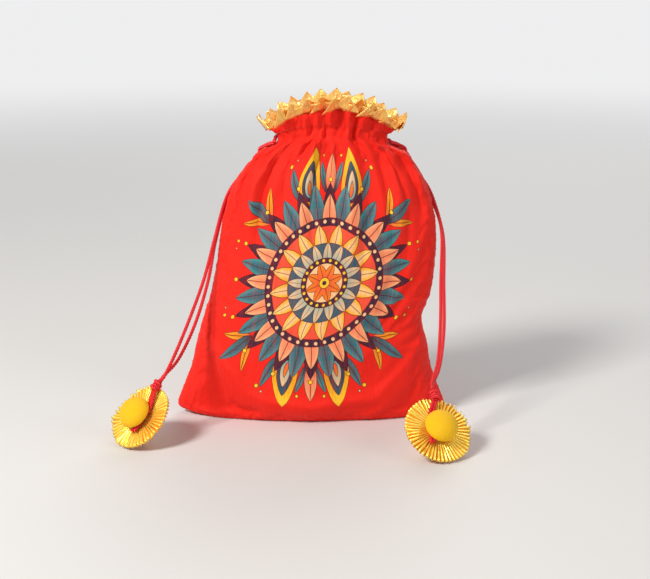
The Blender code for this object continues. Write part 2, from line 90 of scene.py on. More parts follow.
soft_lamp("key_lamp", (-0.85, -0.80, 1.10), width=0.36, watts=23.0, colour=(1.0, 0.98, 0.95))
soft_lamp("fill_lamp", (1.20, -0.90, 0.50), width=0.80, watts=5.0)
soft_lamp("back_lamp", (0.40, 1.10, 1.10), width=0.80, watts=6.0)


def node_in(tree, kind, inputs=None, **settings):
    """A node of that kind, with its settings, and its inputs set by name or number, or linked.

    An input that is itself a node is linked to that node's first output.
    """
    made = tree.nodes.new(kind)
    for name, value in settings.items():
        setattr(made, name, value)
    for key, value in (inputs or {}).items():
        value = value.outputs[0] if isinstance(value, bpy.types.Node) else getattr(value, "socket", value)
        if isinstance(value, bpy.types.NodeSocket):
            tree.links.new(value, made.inputs[key])
        else:
            made.inputs[key].default_value = value
    return made


room = bpy.data.worlds.new("pale_room")
room.use_nodes = True
scene.world = room
rays = node_in(room.node_tree, "ShaderNodeLightPath")
seen = node_in(room.node_tree, "ShaderNodeMath",
               {0: rays.outputs["Is Camera Ray"], 1: rays.outputs["Is Glossy Ray"]}, operation="MAXIMUM")
seen = node_in(room.node_tree, "ShaderNodeMath",
               {0: seen, 1: rays.outputs["Is Transmission Ray"]}, operation="MAXIMUM")
glow = node_in(room.node_tree, "ShaderNodeMapRange", {"Value": seen, "To Min": ROOM_GLOW})
shown = room.node_tree.nodes["Background"]
shown.inputs["Color"].default_value = (*ROOM_COLOUR, 1)
room.node_tree.links.new(glow.outputs["Result"], shown.inputs["Strength"])

half = FLOOR_HALF_WIDTH
floor_mesh = bpy.data.meshes.new("floor")
floor_mesh.from_pydata([(-half, -half, 0), (half, -half, 0), (half, half, 0), (-half, half, 0)], [],
                       [(0, 1, 2, 3)])
floor = bpy.data.objects.new("floor", floor_mesh)
scene.collection.objects.link(floor)
pale = bpy.data.materials.new("pale_floor")
pale.use_nodes = True
surface = pale.node_tree.nodes["Principled BSDF"]
surface.inputs["Base Color"].default_value = (*FLOOR_COLOUR, 1)
surface.inputs["Roughness"].default_value = FLOOR_ROUGHNESS
rays = node_in(pale.node_tree, "ShaderNodeLightPath")
spot = node_in(pale.node_tree, "ShaderNodeTexCoord")
away = node_in(pale.node_tree, "ShaderNodeVectorMath", {0: spot.outputs["Object"]}, operation="LENGTH")
away = node_in(pale.node_tree, "ShaderNodeMapRange",
               {"Value": away.outputs["Value"], "From Min": FLOOR_FADES[0], "From Max": FLOOR_FADES[1]},
               interpolation_type="SMOOTHSTEP")
far = node_in(pale.node_tree, "ShaderNodeMath",
              {0: rays.outputs["Is Camera Ray"], 1: away}, operation="MULTIPLY")
room_glow = node_in(pale.node_tree, "ShaderNodeEmission", {"Color": (*ROOM_COLOUR, 1), "Strength": 1.0})
shown = node_in(pale.node_tree, "ShaderNodeMixShader", {0: far, 1: surface, 2: room_glow})
pale.node_tree.links.new(shown.outputs[0], pale.node_tree.nodes["Material Output"].inputs["Surface"])
floor_mesh.materials.append(pale)

# The bag's two panels: one piece of red slub cloth each, cut alike, printed on the front only, and sewn to
# each other inside out along the sides and the bottom. The sewn bag is turned, filled and gathered at the
# neck, so its cloth is smooth over the belly and stands in folds from the shoulders up to the mouth.
CLOTH_THICKNESS = 0.0010
SEAM_GAP = 0.0003
CORD_DIAMETER = 0.0023
CLOTH_FLAT = (0.186, 0.250)
PANEL_COLUMNS = 180
PANEL_ROWS = 190
FINE_LEVELS = 950
BASE_HALF_WIDTH, BASE_HALF_DEPTH, BELLY_HALF_DEPTH = 0.0915, 0.0165, 0.0320
SHOULDER_LEFT, SHOULDER_RIGHT, SHOULDER_HALF_DEPTH = 0.0570, 0.0830, 0.0270
NECK_MIDDLE, NECK_HALF_WIDTH, NECK_HALF_DEPTH = 0.0145, 0.0355, 0.0130
NECK_SIDE_HEIGHT, NECK_ARCH, CHANNEL_HALF_HEIGHT = 0.1890, 0.0060, 0.0036
MOUTH_HALF_WIDTH, MOUTH_HALF_DEPTH, RUFFLE_HEIGHT, MOUTH_ARCH = 0.0398, 0.0135, 0.0070, 0.0145
NECK_FOLD, MOUTH_FOLD, BODY_FOLD = 0.0021, 0.0044, 0.0034
FOLD_STRENGTHS = (0.40, 0.80, 0.65, 1.00, 0.70, 1.30, 1.10, 0.75, 0.40)
FOLD_REACHES = (0.60, 1.30, 0.45, 0.60, 1.00, 1.10, 0.50, 1.30, 0.60)

# A level is an oval round the bag: its left and right x, its half depth, its heights at the sides and in the
# middle, how square it is, and the share of its width that keeps the middle's height.
Level = collections.namedtuple("Level", "left right depth side_z middle_z roundness flat")


def bag_levels():
    """The levels from the bottom seam, along the base, up the belly, and through the neck to the mouth."""
    base, belly = BASE_HALF_WIDTH, BELLY_HALF_DEPTH
    neck_left, neck_right = NECK_MIDDLE - NECK_HALF_WIDTH, NECK_MIDDLE + NECK_HALF_WIDTH
    mouth_left, mouth_right = NECK_MIDDLE - MOUTH_HALF_WIDTH, NECK_MIDDLE + MOUTH_HALF_WIDTH
    neck, arch, channel = NECK_SIDE_HEIGHT, NECK_ARCH, CHANNEL_HALF_HEIGHT
    mouth = neck + RUFFLE_HEIGHT
    ruffle_middle = (neck + channel + mouth) / 2
    ruffle_arch = (arch + MOUTH_ARCH) / 2
    return [
        Level(-base + 0.0030, base - 0.0030, SEAM_GAP / 2, 0.0025, 0.0000, 1.7, 0.62),
        Level(-base + 0.0010, base - 0.0010, BASE_HALF_DEPTH, 0.0045, 0.0000, 1.7, 0.62),
        Level(-base, base, BASE_HALF_DEPTH + 0.0040, 0.0070, 0.0013, 1.7, 0.60),
        Level(-base + 0.0015, base - 0.0015, BASE_HALF_DEPTH + 0.0075, 0.0120, 0.0070, 1.7, 0.50),
        Level(-base + 0.0055, base - 0.0055, belly - 0.0045, 0.0220, 0.0190, 1.75, 0.30),
        Level(-base + 0.0105, base - 0.0100, belly - 0.0020, 0.0350, 0.0340, 1.8, 0.00),
        Level(-base + 0.0140, base - 0.0125, belly - 0.0005, 0.0500, 0.0500, 1.8, 0.00),
        Level(-base + 0.0190, base - 0.0165, belly, 0.0680, 0.0680, 1.8, 0.00),
        Level(-base + 0.0245, base - 0.0110, belly - 0.0005, 0.0850, 0.0860, 1.85, 0.00),
        Level(-SHOULDER_LEFT - 0.0055, SHOULDER_RIGHT, belly - 0.0015, 0.1060, 0.1080, 1.9, 0.00),
        Level(-SHOULDER_LEFT - 0.0030, SHOULDER_RIGHT + 0.0005, belly - 0.0030, 0.1230, 0.1270, 1.95, 0.00),
        Level(-SHOULDER_LEFT, SHOULDER_RIGHT - 0.0010, SHOULDER_HALF_DEPTH, 0.1390, 0.1450, 2.0, 0.00),
        Level(-SHOULDER_LEFT + 0.0075, SHOULDER_RIGHT - 0.0070, SHOULDER_HALF_DEPTH - 0.0050,
              0.1600, 0.1670, 2.1, 0.00),
        Level(neck_left - 0.0140, neck_right + 0.0140, NECK_HALF_DEPTH + 0.0035,
              neck - 0.0110, neck + arch - 0.0130, 2.3, 0.00),
        Level(neck_left - 0.0030, neck_right + 0.0030, NECK_HALF_DEPTH + 0.0005,
              neck - channel - 0.0015, neck + arch - channel - 0.0015, 2.5, 0.00),
        Level(neck_left - 0.0008, neck_right + 0.0008, NECK_HALF_DEPTH,
              neck - channel, neck + arch - channel, 2.6, 0.00),
        Level(neck_left, neck_right, NECK_HALF_DEPTH, neck, neck + arch, 2.6, 0.00),
        Level(neck_left - 0.0008, neck_right + 0.0008, NECK_HALF_DEPTH,
              neck + channel, neck + arch + channel, 2.6, 0.00),
        Level((neck_left + mouth_left) / 2, (neck_right + mouth_right) / 2,
              (NECK_HALF_DEPTH + MOUTH_HALF_DEPTH) / 2, ruffle_middle + 0.0010,
              ruffle_middle + ruffle_arch + 0.0010, 2.4, 0.00),
        Level(mouth_left, mouth_right, MOUTH_HALF_DEPTH, mouth, mouth + MOUTH_ARCH, 2.2, 0.00),
    ]


LEVELS = bag_levels()
CHANNEL_BOTTOM, NECK, CHANNEL_TOP, MOUTH = 15, 16, 17, 19
FOLD_HEIGHTS = ((9, 0.0), (11, 0.15 * BODY_FOLD), (12, 0.55 * BODY_FOLD), (13, BODY_FOLD), (15, NECK_FOLD),
                (17, NECK_FOLD), (MOUTH, MOUTH_FOLD))
FRONT, BACK = -1, 1


def between(points, x):
    """The value at x of a line through (x, value) points, level beyond its ends."""
    if x <= points[0][0]:
        return points[0][1]
    for (x0, y0), (x1, y1) in zip(points, points[1:]):
        if x <= x1:
            return y0 + (y1 - y0) * (x - x0) / (x1 - x0)
    return points[-1][1]


def smooth_between(a, b, c, d, share):
    """A Catmull-Rom curve's value between b and c."""
    return 0.5 * (2 * b + (c - a) * share + (2 * a - 5 * b + 4 * c - d) * share**2
                  + (3 * b - a - 3 * c + d) * share**3)


def level_at(t):
    """The level at t, which counts levels and may lie between two of them."""
    first = min(int(t), len(LEVELS) - 2)
    near = [LEVELS[min(max(i, 0), len(LEVELS) - 1)] for i in range(first - 1, first + 3)]
    return Level(*(smooth_between(*values, t - first) for values in zip(*near)))


def oval(level, samples=240):
    """(x, y) points round half of a level, from the left seam to the right one, with y from 0 up."""
    middle, half_width = (level.left + level.right) / 2, (level.right - level.left) / 2
    points = []
    for i in range(samples + 1):
        angle = math.pi * i / samples
        c, s = math.cos(angle), max(math.sin(angle), 0.0)
        points.append(Vector((middle - half_width * math.copysign(abs(c) ** (2 / level.roundness), c),
                              level.depth * s ** (2 / level.roundness))))
    return points


def distances(points):
    """How far along a line each of its points is."""
    along = [0.0]
    for a, b in zip(points, points[1:]):
        along.append(along[-1] + (b - a).length)
    return along


def length_of(points):
    return distances(points)[-1]


def even_steps(along, count):
    """Where count equal steps fall between rising distances, as (number, share to the next, distance)."""
    found, i = [], 0
    for k in range(count):
        at = along[-1] * k / (count - 1)
        while i < len(along) - 2 and along[i + 1] < at:
            i += 1
        found.append((i, (at - along[i]) / max(along[i + 1] - along[i], 1e-12), at))
    return found


def evenly(points, count):
    """count points at equal distances along a line."""
    return [points[i].lerp(points[i + 1], share) for i, share, _ in even_steps(distances(points), count)]


def seam_gap(t, line):
    """Half of the panels' gap at a side seam. It opens at the channel, to let two cords out."""
    open_gap = 1.5 * SEAM_GAP + CORD_DIAMETER
    across = line[3] - line[0]
    sewn = SEAM_GAP / 2 + CLOTH_THICKNESS * abs(across.x) / across.length
    return open_gap if CHANNEL_BOTTOM <= t <= CHANNEL_TOP else sewn


def normals_of(line):
    """The outward normal at each point of a half oval."""
    found = []
    for i in range(len(line)):
        along = line[min(i + 1, len(line) - 1)] - line[max(i - 1, 0)]
        found.append(Vector((-along.y, along.x)).normalized())
    return found


def fold_height(t, u):
    """How far the big folds stand out at level t, at a share u of a panel's width."""
    folds = len(FOLD_STRENGTHS)
    fold = min(int(u * folds), folds - 1)
    reach = between(((11.5, FOLD_REACHES[fold]), (13.5, 1.0)), t)
    wave = (1 - math.cos(2 * math.pi * folds * u)) / 2
    return between(FOLD_HEIGHTS, t) * FOLD_STRENGTHS[fold] * reach * wave


def height_at(level, x):
    """The height of a level at x: it leaves the middle's height beyond the flat share."""
    middle, half_width = (level.left + level.right) / 2, (level.right - level.left) / 2
    out = min(abs(x - middle) / half_width, 1.0)
    rise = max(0.0, (out - level.flat) / (1 - level.flat)) ** 2
    return level.middle_z + (level.side_z - level.middle_z) * rise


# How high each kind of small fold is, and how much of it there is at which level.
PUCKER = 0.0023
PUCKER_REACH = ((11.6, 0.0), (12.8, 0.30), (13.8, 0.75), (14.8, 1.0), (17.2, 1.0), (18.2, 0.75),
                (MOUTH, 0.60))
PUCKERS_ACROSS = 15.0
DRAPE = 0.0056
DRAPE_REACH = ((7.5, 0.0), (9.5, 0.25), (11.5, 0.80), (12.8, 1.0), (14.2, 0.45), (15.0, 0.0))
DRAPES_ACROSS = 11.0
SOFT_DENT = 0.0030
SOFT_DENT_REACH = ((1.5, 0.0), (3.5, 0.7), (6.0, 1.0), (11.0, 1.0), (13.0, 0.0))
SEAM_PUCKER = 0.0007
SEAM_PUCKER_WIDTH = 0.006
SEAM_HOLD_WIDTH = 0.012
WAIST = ((12.6, 0.0), (13.4, 0.0016), (14.1, 0.0022), (14.7, 0.0006), (15.1, 0.0), (16.9, 0.0),
         (17.4, 0.0010), (18.2, 0.0022), (MOUTH, 0.0018))


def ripple(x, y, z):
    """Smooth noise, from about -1 to 1."""
    return noise.noise(Vector((x, y, z)))


def small_folds(side, t, u, place):
    """What the small folds and dents of one panel's cloth add to its height."""
    own = 3.0 + 20.0 * (side + 1)
    pucker = abs(ripple(u * PUCKERS_ACROSS, t * 0.30, own)) * 2.2
    pucker += abs(ripple(u * PUCKERS_ACROSS * 3.0, t * 0.45, own + 5)) * 0.55
    drape = abs(ripple(u * DRAPES_ACROSS + t * 0.10, t * 0.22, own + 9)) * 1.6 - 0.3
    dent = ripple(place.x * 24, place.z * 17, own + 13)
    dent += 0.35 * ripple(place.x * 60, place.z * 45, own + 17)
    from_seam = min(u, 1 - u) * CLOTH_FLAT[0]
    seam = ripple(t * 5.0, own, 0.0) * math.exp(-from_seam / SEAM_PUCKER_WIDTH)
    fade = min(1.0, from_seam / SEAM_HOLD_WIDTH)
    return (PUCKER * between(PUCKER_REACH, t) * pucker * fade
            + DRAPE * between(DRAPE_REACH, t) * drape * fade
            + between(WAIST, t) * fade
            + SOFT_DENT * between(SOFT_DENT_REACH, t) * dent * fade
            + SEAM_PUCKER * seam)


def sheet_row(t, columns, inward=0.0, folded=True, side=FRONT, small=False):
    """One row of points of a panel, from the left seam to the right one."""
    level = level_at(t)
    line = oval(level)
    gap = seam_gap(t, line)
    if level.depth > gap:
        line = [p for p in line if p.y >= gap]
    line = evenly(line, columns + 1)
    row = []
    for i, (p, normal) in enumerate(zip(line, normals_of(line))):
        out = folded * fold_height(t, i / columns) - inward
        if small:
            out += small_folds(side, t, i / columns, Vector((p.x, 0, height_at(level, p.x))))
        p = p + normal * out
        row.append(Vector((p.x, side * max(p.y, SEAM_GAP / 2), height_at(level, p.x))))
    return row


def even_levels(count):
    """(level number, distance up the cloth) of rows at equal distances up the middle of a panel."""
    fine = [MOUTH * i / FINE_LEVELS for i in range(FINE_LEVELS + 1)]
    line = [Vector((0, -level_at(t).depth, level_at(t).middle_z)) for t in fine]
    return [(fine[i] + (fine[i + 1] - fine[i]) * share, at)
            for i, share, at in even_steps(distances(line), count)]


def add_piece(name, mesh, *materials):
    piece = bpy.data.objects.new(name, mesh)
    scene.collection.objects.link(piece)
    for one in materials:
        mesh.materials.append(one)
    return piece


def grid_faces(rows, columns, ring=False):
    """The faces between rows of points, which close to rings where that is asked for."""
    return [(r * columns + c, r * columns + (c + 1) % columns, (r + 1) * columns + (c + 1) % columns,
             (r + 1) * columns + c) for r in range(rows - 1) for c in range(columns - (not ring))]


def smooth_mesh(name, points, faces, flat=None):
    """A smooth mesh, with its points' places on the flat cloth, in metres, as a UV map if given."""
    mesh = bpy.data.meshes.new(name)
    mesh.from_pydata(points, [], faces)
    if flat:
        places = mesh.uv_layers.new(name="cloth")
        for loop in mesh.loops:
            places.data[loop.index].uv = flat[loop.vertex_index]
    mesh.shade_smooth()
    return mesh


def flipped(faces):
    """The faces with their other side out."""
    return [tuple(reversed(face)) for face in faces]


def grid_mesh(name, rows, flat=None, turned_over=False):
    """A sheet through rows of points."""
    faces = grid_faces(len(rows), len(rows[0]))
    points = [p for row in rows for p in row]
    return smooth_mesh(name, points, flipped(faces) if turned_over else faces, flat)


def plain(piece):
    """The piece as a plain mesh, with its modifiers worked in."""
    bpy.context.view_layer.update()
    graph = bpy.context.evaluated_depsgraph_get()
    mesh = bpy.data.meshes.new_from_object(piece.evaluated_get(graph))
    piece.modifiers.clear()
    piece.data = mesh
    mesh.name = piece.name
    return piece


def thicken(piece, thickness, offset=-1.0, inside=0):
    """The sheet gets its thickness, away from its outer face, and inside counts on to its lining's slot."""
    wall = piece.modifiers.new("Cloth", "SOLIDIFY")
    wall.thickness, wall.offset, wall.material_offset = thickness, offset, inside
    return plain(piece)


class Field:
    """A number that varies over a surface: a node's output, which takes plain arithmetic."""

    def __init__(self, tree, socket):
        self.tree, self.socket = tree, socket

    def math(self, operation, *others, clamp=False):
        made = node_in(self.tree, "ShaderNodeMath", dict(enumerate((self, *others))),
                       operation=operation, use_clamp=clamp)
        return Field(self.tree, made.outputs[0])

    __add__ = functools.partialmethod(math, "ADD")
    __sub__ = functools.partialmethod(math, "SUBTRACT")
    __rsub__ = functools.partialmethod(math, "MULTIPLY_ADD", -1.0)
    __mul__ = functools.partialmethod(math, "MULTIPLY")
    __truediv__ = functools.partialmethod(math, "DIVIDE")
    __pow__ = functools.partialmethod(math, "POWER")
    __abs__ = functools.partialmethod(math, "ABSOLUTE")
    clamped = functools.partialmethod(math, "ADD", 0.0, clamp=True)

    def edge(self, soft):
        """1 where the field is above nothing and 0 below, with a soft step between."""
        return self.math("MULTIPLY_ADD", 1 / soft, 0.5, clamp=True)


def mixed(tree, share, one, other):
    """One colour at share 0, the other at 1."""
    made = node_in(tree, "ShaderNodeMix", {0: share, 6: one, 7: other}, data_type="RGBA")
    return made.outputs[2]


def noise_field(tree, places, scale, detail=2.0, roughness=0.5):
    made = node_in(tree, "ShaderNodeTexNoise",
                   {"Vector": places, "Scale": scale, "Detail": detail, "Roughness": roughness})
    return Field(tree, made.outputs[0])


def stretched(tree, places, across, up, other=1.0):
    """The places with each way scaled by its own number."""
    made = node_in(tree, "ShaderNodeMapping", {"Vector": places, "Scale": (across, up, other)})
    return made.outputs[0]


def new_finish(name, roughness, metallic=0.0):
    """A material with its tree and its shader."""
    finish = bpy.data.materials.new(name)
    finish.use_nodes = True
    shader = finish.node_tree.nodes["Principled BSDF"]
    shader.inputs["Roughness"].default_value = roughness
    shader.inputs["Metallic"].default_value = metallic
    return finish, finish.node_tree, shader


def coat(tree, shader, colour, height=None, depth=0.0):
    """The shader takes its colour from one field and, where there is one, its bump from another."""
    tree.links.new(colour, shader.inputs["Base Color"])
    if height:
        bump = node_in(tree, "ShaderNodeBump", {"Height": height, "Distance": depth, "Strength": 1.0})
        tree.links.new(bump.outputs[0], shader.inputs["Normal"])


def object_places(tree):
    return node_in(tree, "ShaderNodeTexCoord").outputs["Object"]


def cloth_places(tree):
    """The places on the flat cloth, in metres, and as a field across it and a field up it."""
    places = node_in(tree, "ShaderNodeUVMap", uv_map="cloth").outputs[0]
    apart = node_in(tree, "ShaderNodeSeparateXYZ", {0: places})
    return places, Field(tree, apart.outputs[0]), Field(tree, apart.outputs[1])


def woven(across, up, pitch):
    """The height of threads that cross, a pitch apart for each pair."""
    return (across * (2 * math.pi / pitch)).math("SINE") * (up * (2 * math.pi / pitch)).math("SINE")


WEAVE_PITCH = 0.0008
CLOTH_RED = (0.96, 0.026, 0.012, 1)
CLOTH_DEEP_RED = (0.76, 0.010, 0.006, 1)
LINING_RED = (0.60, 0.014, 0.012, 1)
LINING_DEEP_RED = (0.40, 0.008, 0.008, 1)
INK = (0.030, 0.006, 0.008, 1)
NAVY = (0.008, 0.018, 0.040, 1)
TEAL = (0.002, 0.110, 0.150, 1)
PALE_TEAL = (0.015, 0.400, 0.400, 1)
CORAL = (0.88, 0.090, 0.045, 1)
PALE_CORAL = (0.97, 0.260, 0.120, 1)
ORANGE = (0.95, 0.280, 0.010, 1)
YELLOW = (1.0, 0.620, 0.030, 1)
CREAM = (1.0, 0.620, 0.300, 1)
PRINT_MIDDLE = (0.0, 0.121)
PRINT_SOFT = 0.0003
PRINT_LINE = 0.0004
PRINT_COVER = 0.97
PRINT_THREADS = 0.50


class Print:
    """The front's print: fields of colour laid over each other, most with a dark line round them."""

    def __init__(self, tree, across, up):
        self.tree, self.across, self.up = tree, across, up
        self.reach = (across * across + up * up).math("SQRT")
        self.turn = up.math("ARCTAN2", across)
        self.colour = INK
        self.cover = across * 0.0

    def lay(self, depth, colour, line=PRINT_LINE):
        """A field of colour where depth, in metres from its edge inwards, is above nothing."""
        inside = depth.edge(PRINT_SOFT)
        if line:
            self.colour = mixed(self.tree, inside, self.colour, INK)
            inside_line = (depth - line).edge(PRINT_SOFT)
        else:
            inside_line = inside
        self.colour = mixed(self.tree, inside_line, self.colour, colour)
        self.cover = self.cover.math("MAXIMUM", inside)

    def round_places(self, count, turned=0.0):
        """Distance outwards and sideways from the nearest of count rays."""
        spread = 2 * math.pi / count
        turn = self.turn / spread + turned
        off = (turn - turn.math("FLOOR") - 0.5) * spread
        return self.reach * off.math("COSINE"), self.reach * off.math("SINE")

    def petals(self, count, inner, outer, half_width, low, high, turned=0.0, belly=0.6, rib=0.0,
               heart=None):
        """A ring of pointed petals, from the low colour at their feet to the high one at their tips."""
        out, aside = self.round_places(count, turned)
        self.petal(out - inner, aside, outer - inner, half_width, low, high, belly, rib, heart)

    def petal(self, up, aside, length, half_width, low, high, belly=0.6, rib=0.0, heart=None):
        """A pointed petal along up, with a lighter heart and a dark rib where they are asked for."""
        share = (up / length).clamped()
        width = share ** belly * (1 - share) ** 0.75 * (1.95 * half_width)
        depth = width - abs(aside) - PRINT_SOFT
        self.lay(depth, mixed(self.tree, share, low, high))
        if heart:
            inner = (width * 0.52 - abs(aside)).edge(half_width * 0.35) * (share * 3.0 - 0.4).clamped()
            self.colour = mixed(self.tree, inner * (depth - PRINT_LINE).edge(PRINT_SOFT) * 0.8, self.colour,
                                heart)
        if rib:
            ribs = (rib * 0.5 - abs(aside)).edge(PRINT_SOFT) * (depth - 2 * PRINT_LINE).edge(PRINT_SOFT)
            self.colour = mixed(self.tree, ribs, self.colour, INK)

    def disc(self, radius, colour, line=PRINT_LINE):
        self.lay(self.reach * -1 + radius, colour, line)

    def beads(self, count, ring, radius, colour, turned=0.0, line=PRINT_LINE):
        """A ring of round beads."""
        out, aside = self.round_places(count, turned)
        away = ((out - ring) ** 2.0 + aside * aside).math("SQRT")
        self.lay(away * -1 + radius, colour, line)

    def pair(self, foot, lean):
        """Along and aside from a foot, in a direction that leans outwards, alike on the left and right."""
        x, y = abs(self.across) - foot[0], self.up - foot[1]
        c, s = math.cos(lean), math.sin(lean)
        return x * s + y * c, x * c - y * s

    def leaves(self, foot, lean, length, half_width, low, high, bend=0.0, rib=0.0005, heart=None):
        """A leaf on each side, whose tip bends aside."""
        along, aside = self.pair(foot, lean)
        share = (along / length).clamped()
        self.petal(along, aside - share * share * bend, length, half_width, low, high, rib=rib, heart=heart)

    def paisleys(self, foot, lean, length, half_width, bend, low, high):
        """A paisley on each side: a drop whose tip bends over, with smaller ones inside it."""
        along, aside = self.pair(foot, lean)
        share = (along / length).clamped()
        aside = aside - share * share * bend
        self.petal(along, aside, length, half_width, low, high, belly=0.5)
        for foot_share, long_share, wide_share, inner_low, inner_high in (
                (0.10, 0.70, 0.66, NAVY, TEAL), (0.16, 0.50, 0.42, PALE_TEAL, CREAM),
                (0.19, 0.30, 0.20, CORAL, ORANGE)):
            self.petal(along - length * foot_share, aside, length * long_share, half_width * wide_share,
                       inner_low, inner_high, belly=0.5)

    def dots(self, place, radius, colour):
        """A dot on each side."""
        x, y = abs(self.across) - place[0], self.up - place[1]
        self.lay((x * x + y * y).math("SQRT") * -1 + radius, colour)


def paint_print(tree, across, up):
    """A festive medallion: rings of petals and beads round a rosette, with paisleys above and below."""
    art = Print(tree, across - PRINT_MIDDLE[0], up - PRINT_MIDDLE[1])
    for over in (1, -1):
        high = 1.0 if over > 0 else 0.93
        art.up = (up - PRINT_MIDDLE[1]) * over
        foot = (0.0430, 0.0400 * high)
        art.leaves(foot, math.radians(82), 0.0230, 0.0042, CORAL, YELLOW, 0.0030, heart=ORANGE)
        art.leaves(foot, math.radians(22), 0.0250, 0.0042, CORAL, YELLOW, -0.0040, heart=ORANGE)
        art.leaves(foot, math.radians(52), 0.0290, 0.0058, NAVY, PALE_TEAL, heart=TEAL)
        art.leaves((0.0200, 0.0520 * high), math.radians(44), 0.0270, 0.0052, NAVY, PALE_TEAL, -0.0060,
                   heart=TEAL)
        art.paisleys((0.0130, 0.0500 * high), math.radians(24), 0.0380, 0.0115, -0.0110, ORANGE, YELLOW)
        art.leaves((0.0030, 0.0580 * high), math.radians(14), 0.0230, 0.0036, NAVY, PALE_TEAL, 0.0020)
        art.petal(art.up - 0.0580 * high, art.across, 0.0270, 0.0062, CORAL, CREAM, rib=0.0005,
                  heart=PALE_CORAL)
        art.dots((0.0090, 0.0830 * high), 0.0013, YELLOW)
        art.dots((0.0365, 0.0760 * high), 0.0016, YELLOW)
        art.dots((0.0330, 0.0800 * high), 0.0010, CREAM)
        art.dots((0.0690, 0.0270 * high), 0.0014, YELLOW)
        art.dots((0.0700, 0.0215 * high), 0.0009, CREAM)
    art.up = up - PRINT_MIDDLE[1]
    art.beads(16, 0.0672, 0.0017, YELLOW, turned=0.5)
    art.petals(32, 0.0300, 0.0655, 0.0068, INK, NAVY, turned=0.5, belly=0.35)
    art.petals(16, 0.0300, 0.0655, 0.0084, NAVY, PALE_TEAL, rib=0.0005, heart=TEAL)
    art.petals(16, 0.0300, 0.0580, 0.0074, CORAL, CREAM, turned=0.5, rib=0.0005, heart=PALE_CORAL)
    art.disc(0.0428, NAVY)
    art.beads(40, 0.0404, 0.0012, CREAM, line=0.0)
    art.disc(0.0378, CORAL)
    art.petals(16, 0.0160, 0.0392, 0.0068, ORANGE, YELLOW, rib=0.0004, heart=CREAM)
    art.disc(0.0266, TEAL)
    art.petals(16, 0.0100, 0.0272, 0.0048, PALE_TEAL, CREAM, turned=0.5, rib=0.0003)
    art.disc(0.0168, NAVY)
    art.beads(20, 0.0150, 0.0010, YELLOW, line=0.0)
    art.disc(0.0132, CREAM)
    art.petals(8, 0.0010, 0.0136, 0.0046, CORAL, ORANGE, rib=0.0004)
    art.disc(0.0038, YELLOW)
    art.disc(0.0015, NAVY, line=0.0)
    return art


def make_red_cloth(name, printed):
    """Slub cloth: fine ribs up the cloth, uneven threads across it, and a soft sheen."""
    finish, tree, shader = new_finish(name, 0.52)
    places, across, up = cloth_places(tree)
    ribs = noise_field(tree, stretched(tree, places, 850, 28), 1.0, 3.0, 0.65)
    slubs = noise_field(tree, stretched(tree, places, 40, 900), 1.0, 3.0, 0.6)
    patches = noise_field(tree, places, 14.0, 3.0)
    colour = mixed(tree, (ribs * 0.6 + slubs * 0.3 + patches * 0.5 - 0.30).clamped(), CLOTH_RED,
                   CLOTH_DEEP_RED)
    if printed:
        art = paint_print(tree, across, up)
        threads = ((ribs - 0.5) * 2.2 + (slubs - 0.5) * 0.8 + 0.12).clamped()
        inked = mixed(tree, threads * PRINT_THREADS, art.colour, CLOTH_DEEP_RED)
        colour = mixed(tree, art.cover * PRINT_COVER, colour, inked)
    shader.inputs["Sheen Weight"].default_value = 0.16
    shader.inputs["Sheen Roughness"].default_value = 0.35
    shader.inputs["Sheen Tint"].default_value = (1.0, 0.25, 0.20, 1)
    shader.inputs["Specular IOR Level"].default_value = 0.15
    weave = woven(across, up, WEAVE_PITCH)
    coat(tree, shader, colour, weave * 0.25 + ribs * 1.6 + slubs * 0.7, 0.00022)
    return finish


def make_lining():
    """The cloth's inner face and the channel's tape: matt, a little darker, with a plain weave."""
    finish, tree, shader = new_finish("lining", 0.75)
    threads = noise_field(tree, stretched(tree, object_places(tree), 900, 900, 1200), 1.0, 2.0)
    coat(tree, shader, mixed(tree, threads, LINING_RED, LINING_DEEP_RED), threads, 0.00015)
    return finish


# The cloth is let go with a little length to spare and a slight pressure from inside. It is held at its
# sides, at its bottom seam and in its neck.
SETTLE_COLUMNS, SETTLE_ROWS = 90, 100
SETTLE_FRAMES = 24
SETTLE_SPARE = 0.045
SETTLE_REACH = 0.0042
SETTLE_GRAVITY = 0.4
SETTLE_FREE_ASIDE = ((0.003, 0.0), (0.016, 1.0))
SETTLE_FREE_UP = ((1.2, 0.0), (3.2, 1.0), (12.6, 1.0), (14.3, 0.0))
SETTLE_CLOTH = {
    "quality": 6, "mass": 0.10, "tension_stiffness": 20, "compression_stiffness": 20, "shear_stiffness": 8,
    "bending_stiffness": 0.35, "vertex_group_mass": "held", "shrink_min": -SETTLE_SPARE,
    "use_pressure": True, "uniform_pressure_force": 0.6,
}


def capped(move):
    """The move, shortened so that it stays under the reach, and the more so the longer it is."""
    return move * (SETTLE_REACH / (SETTLE_REACH + move.length))


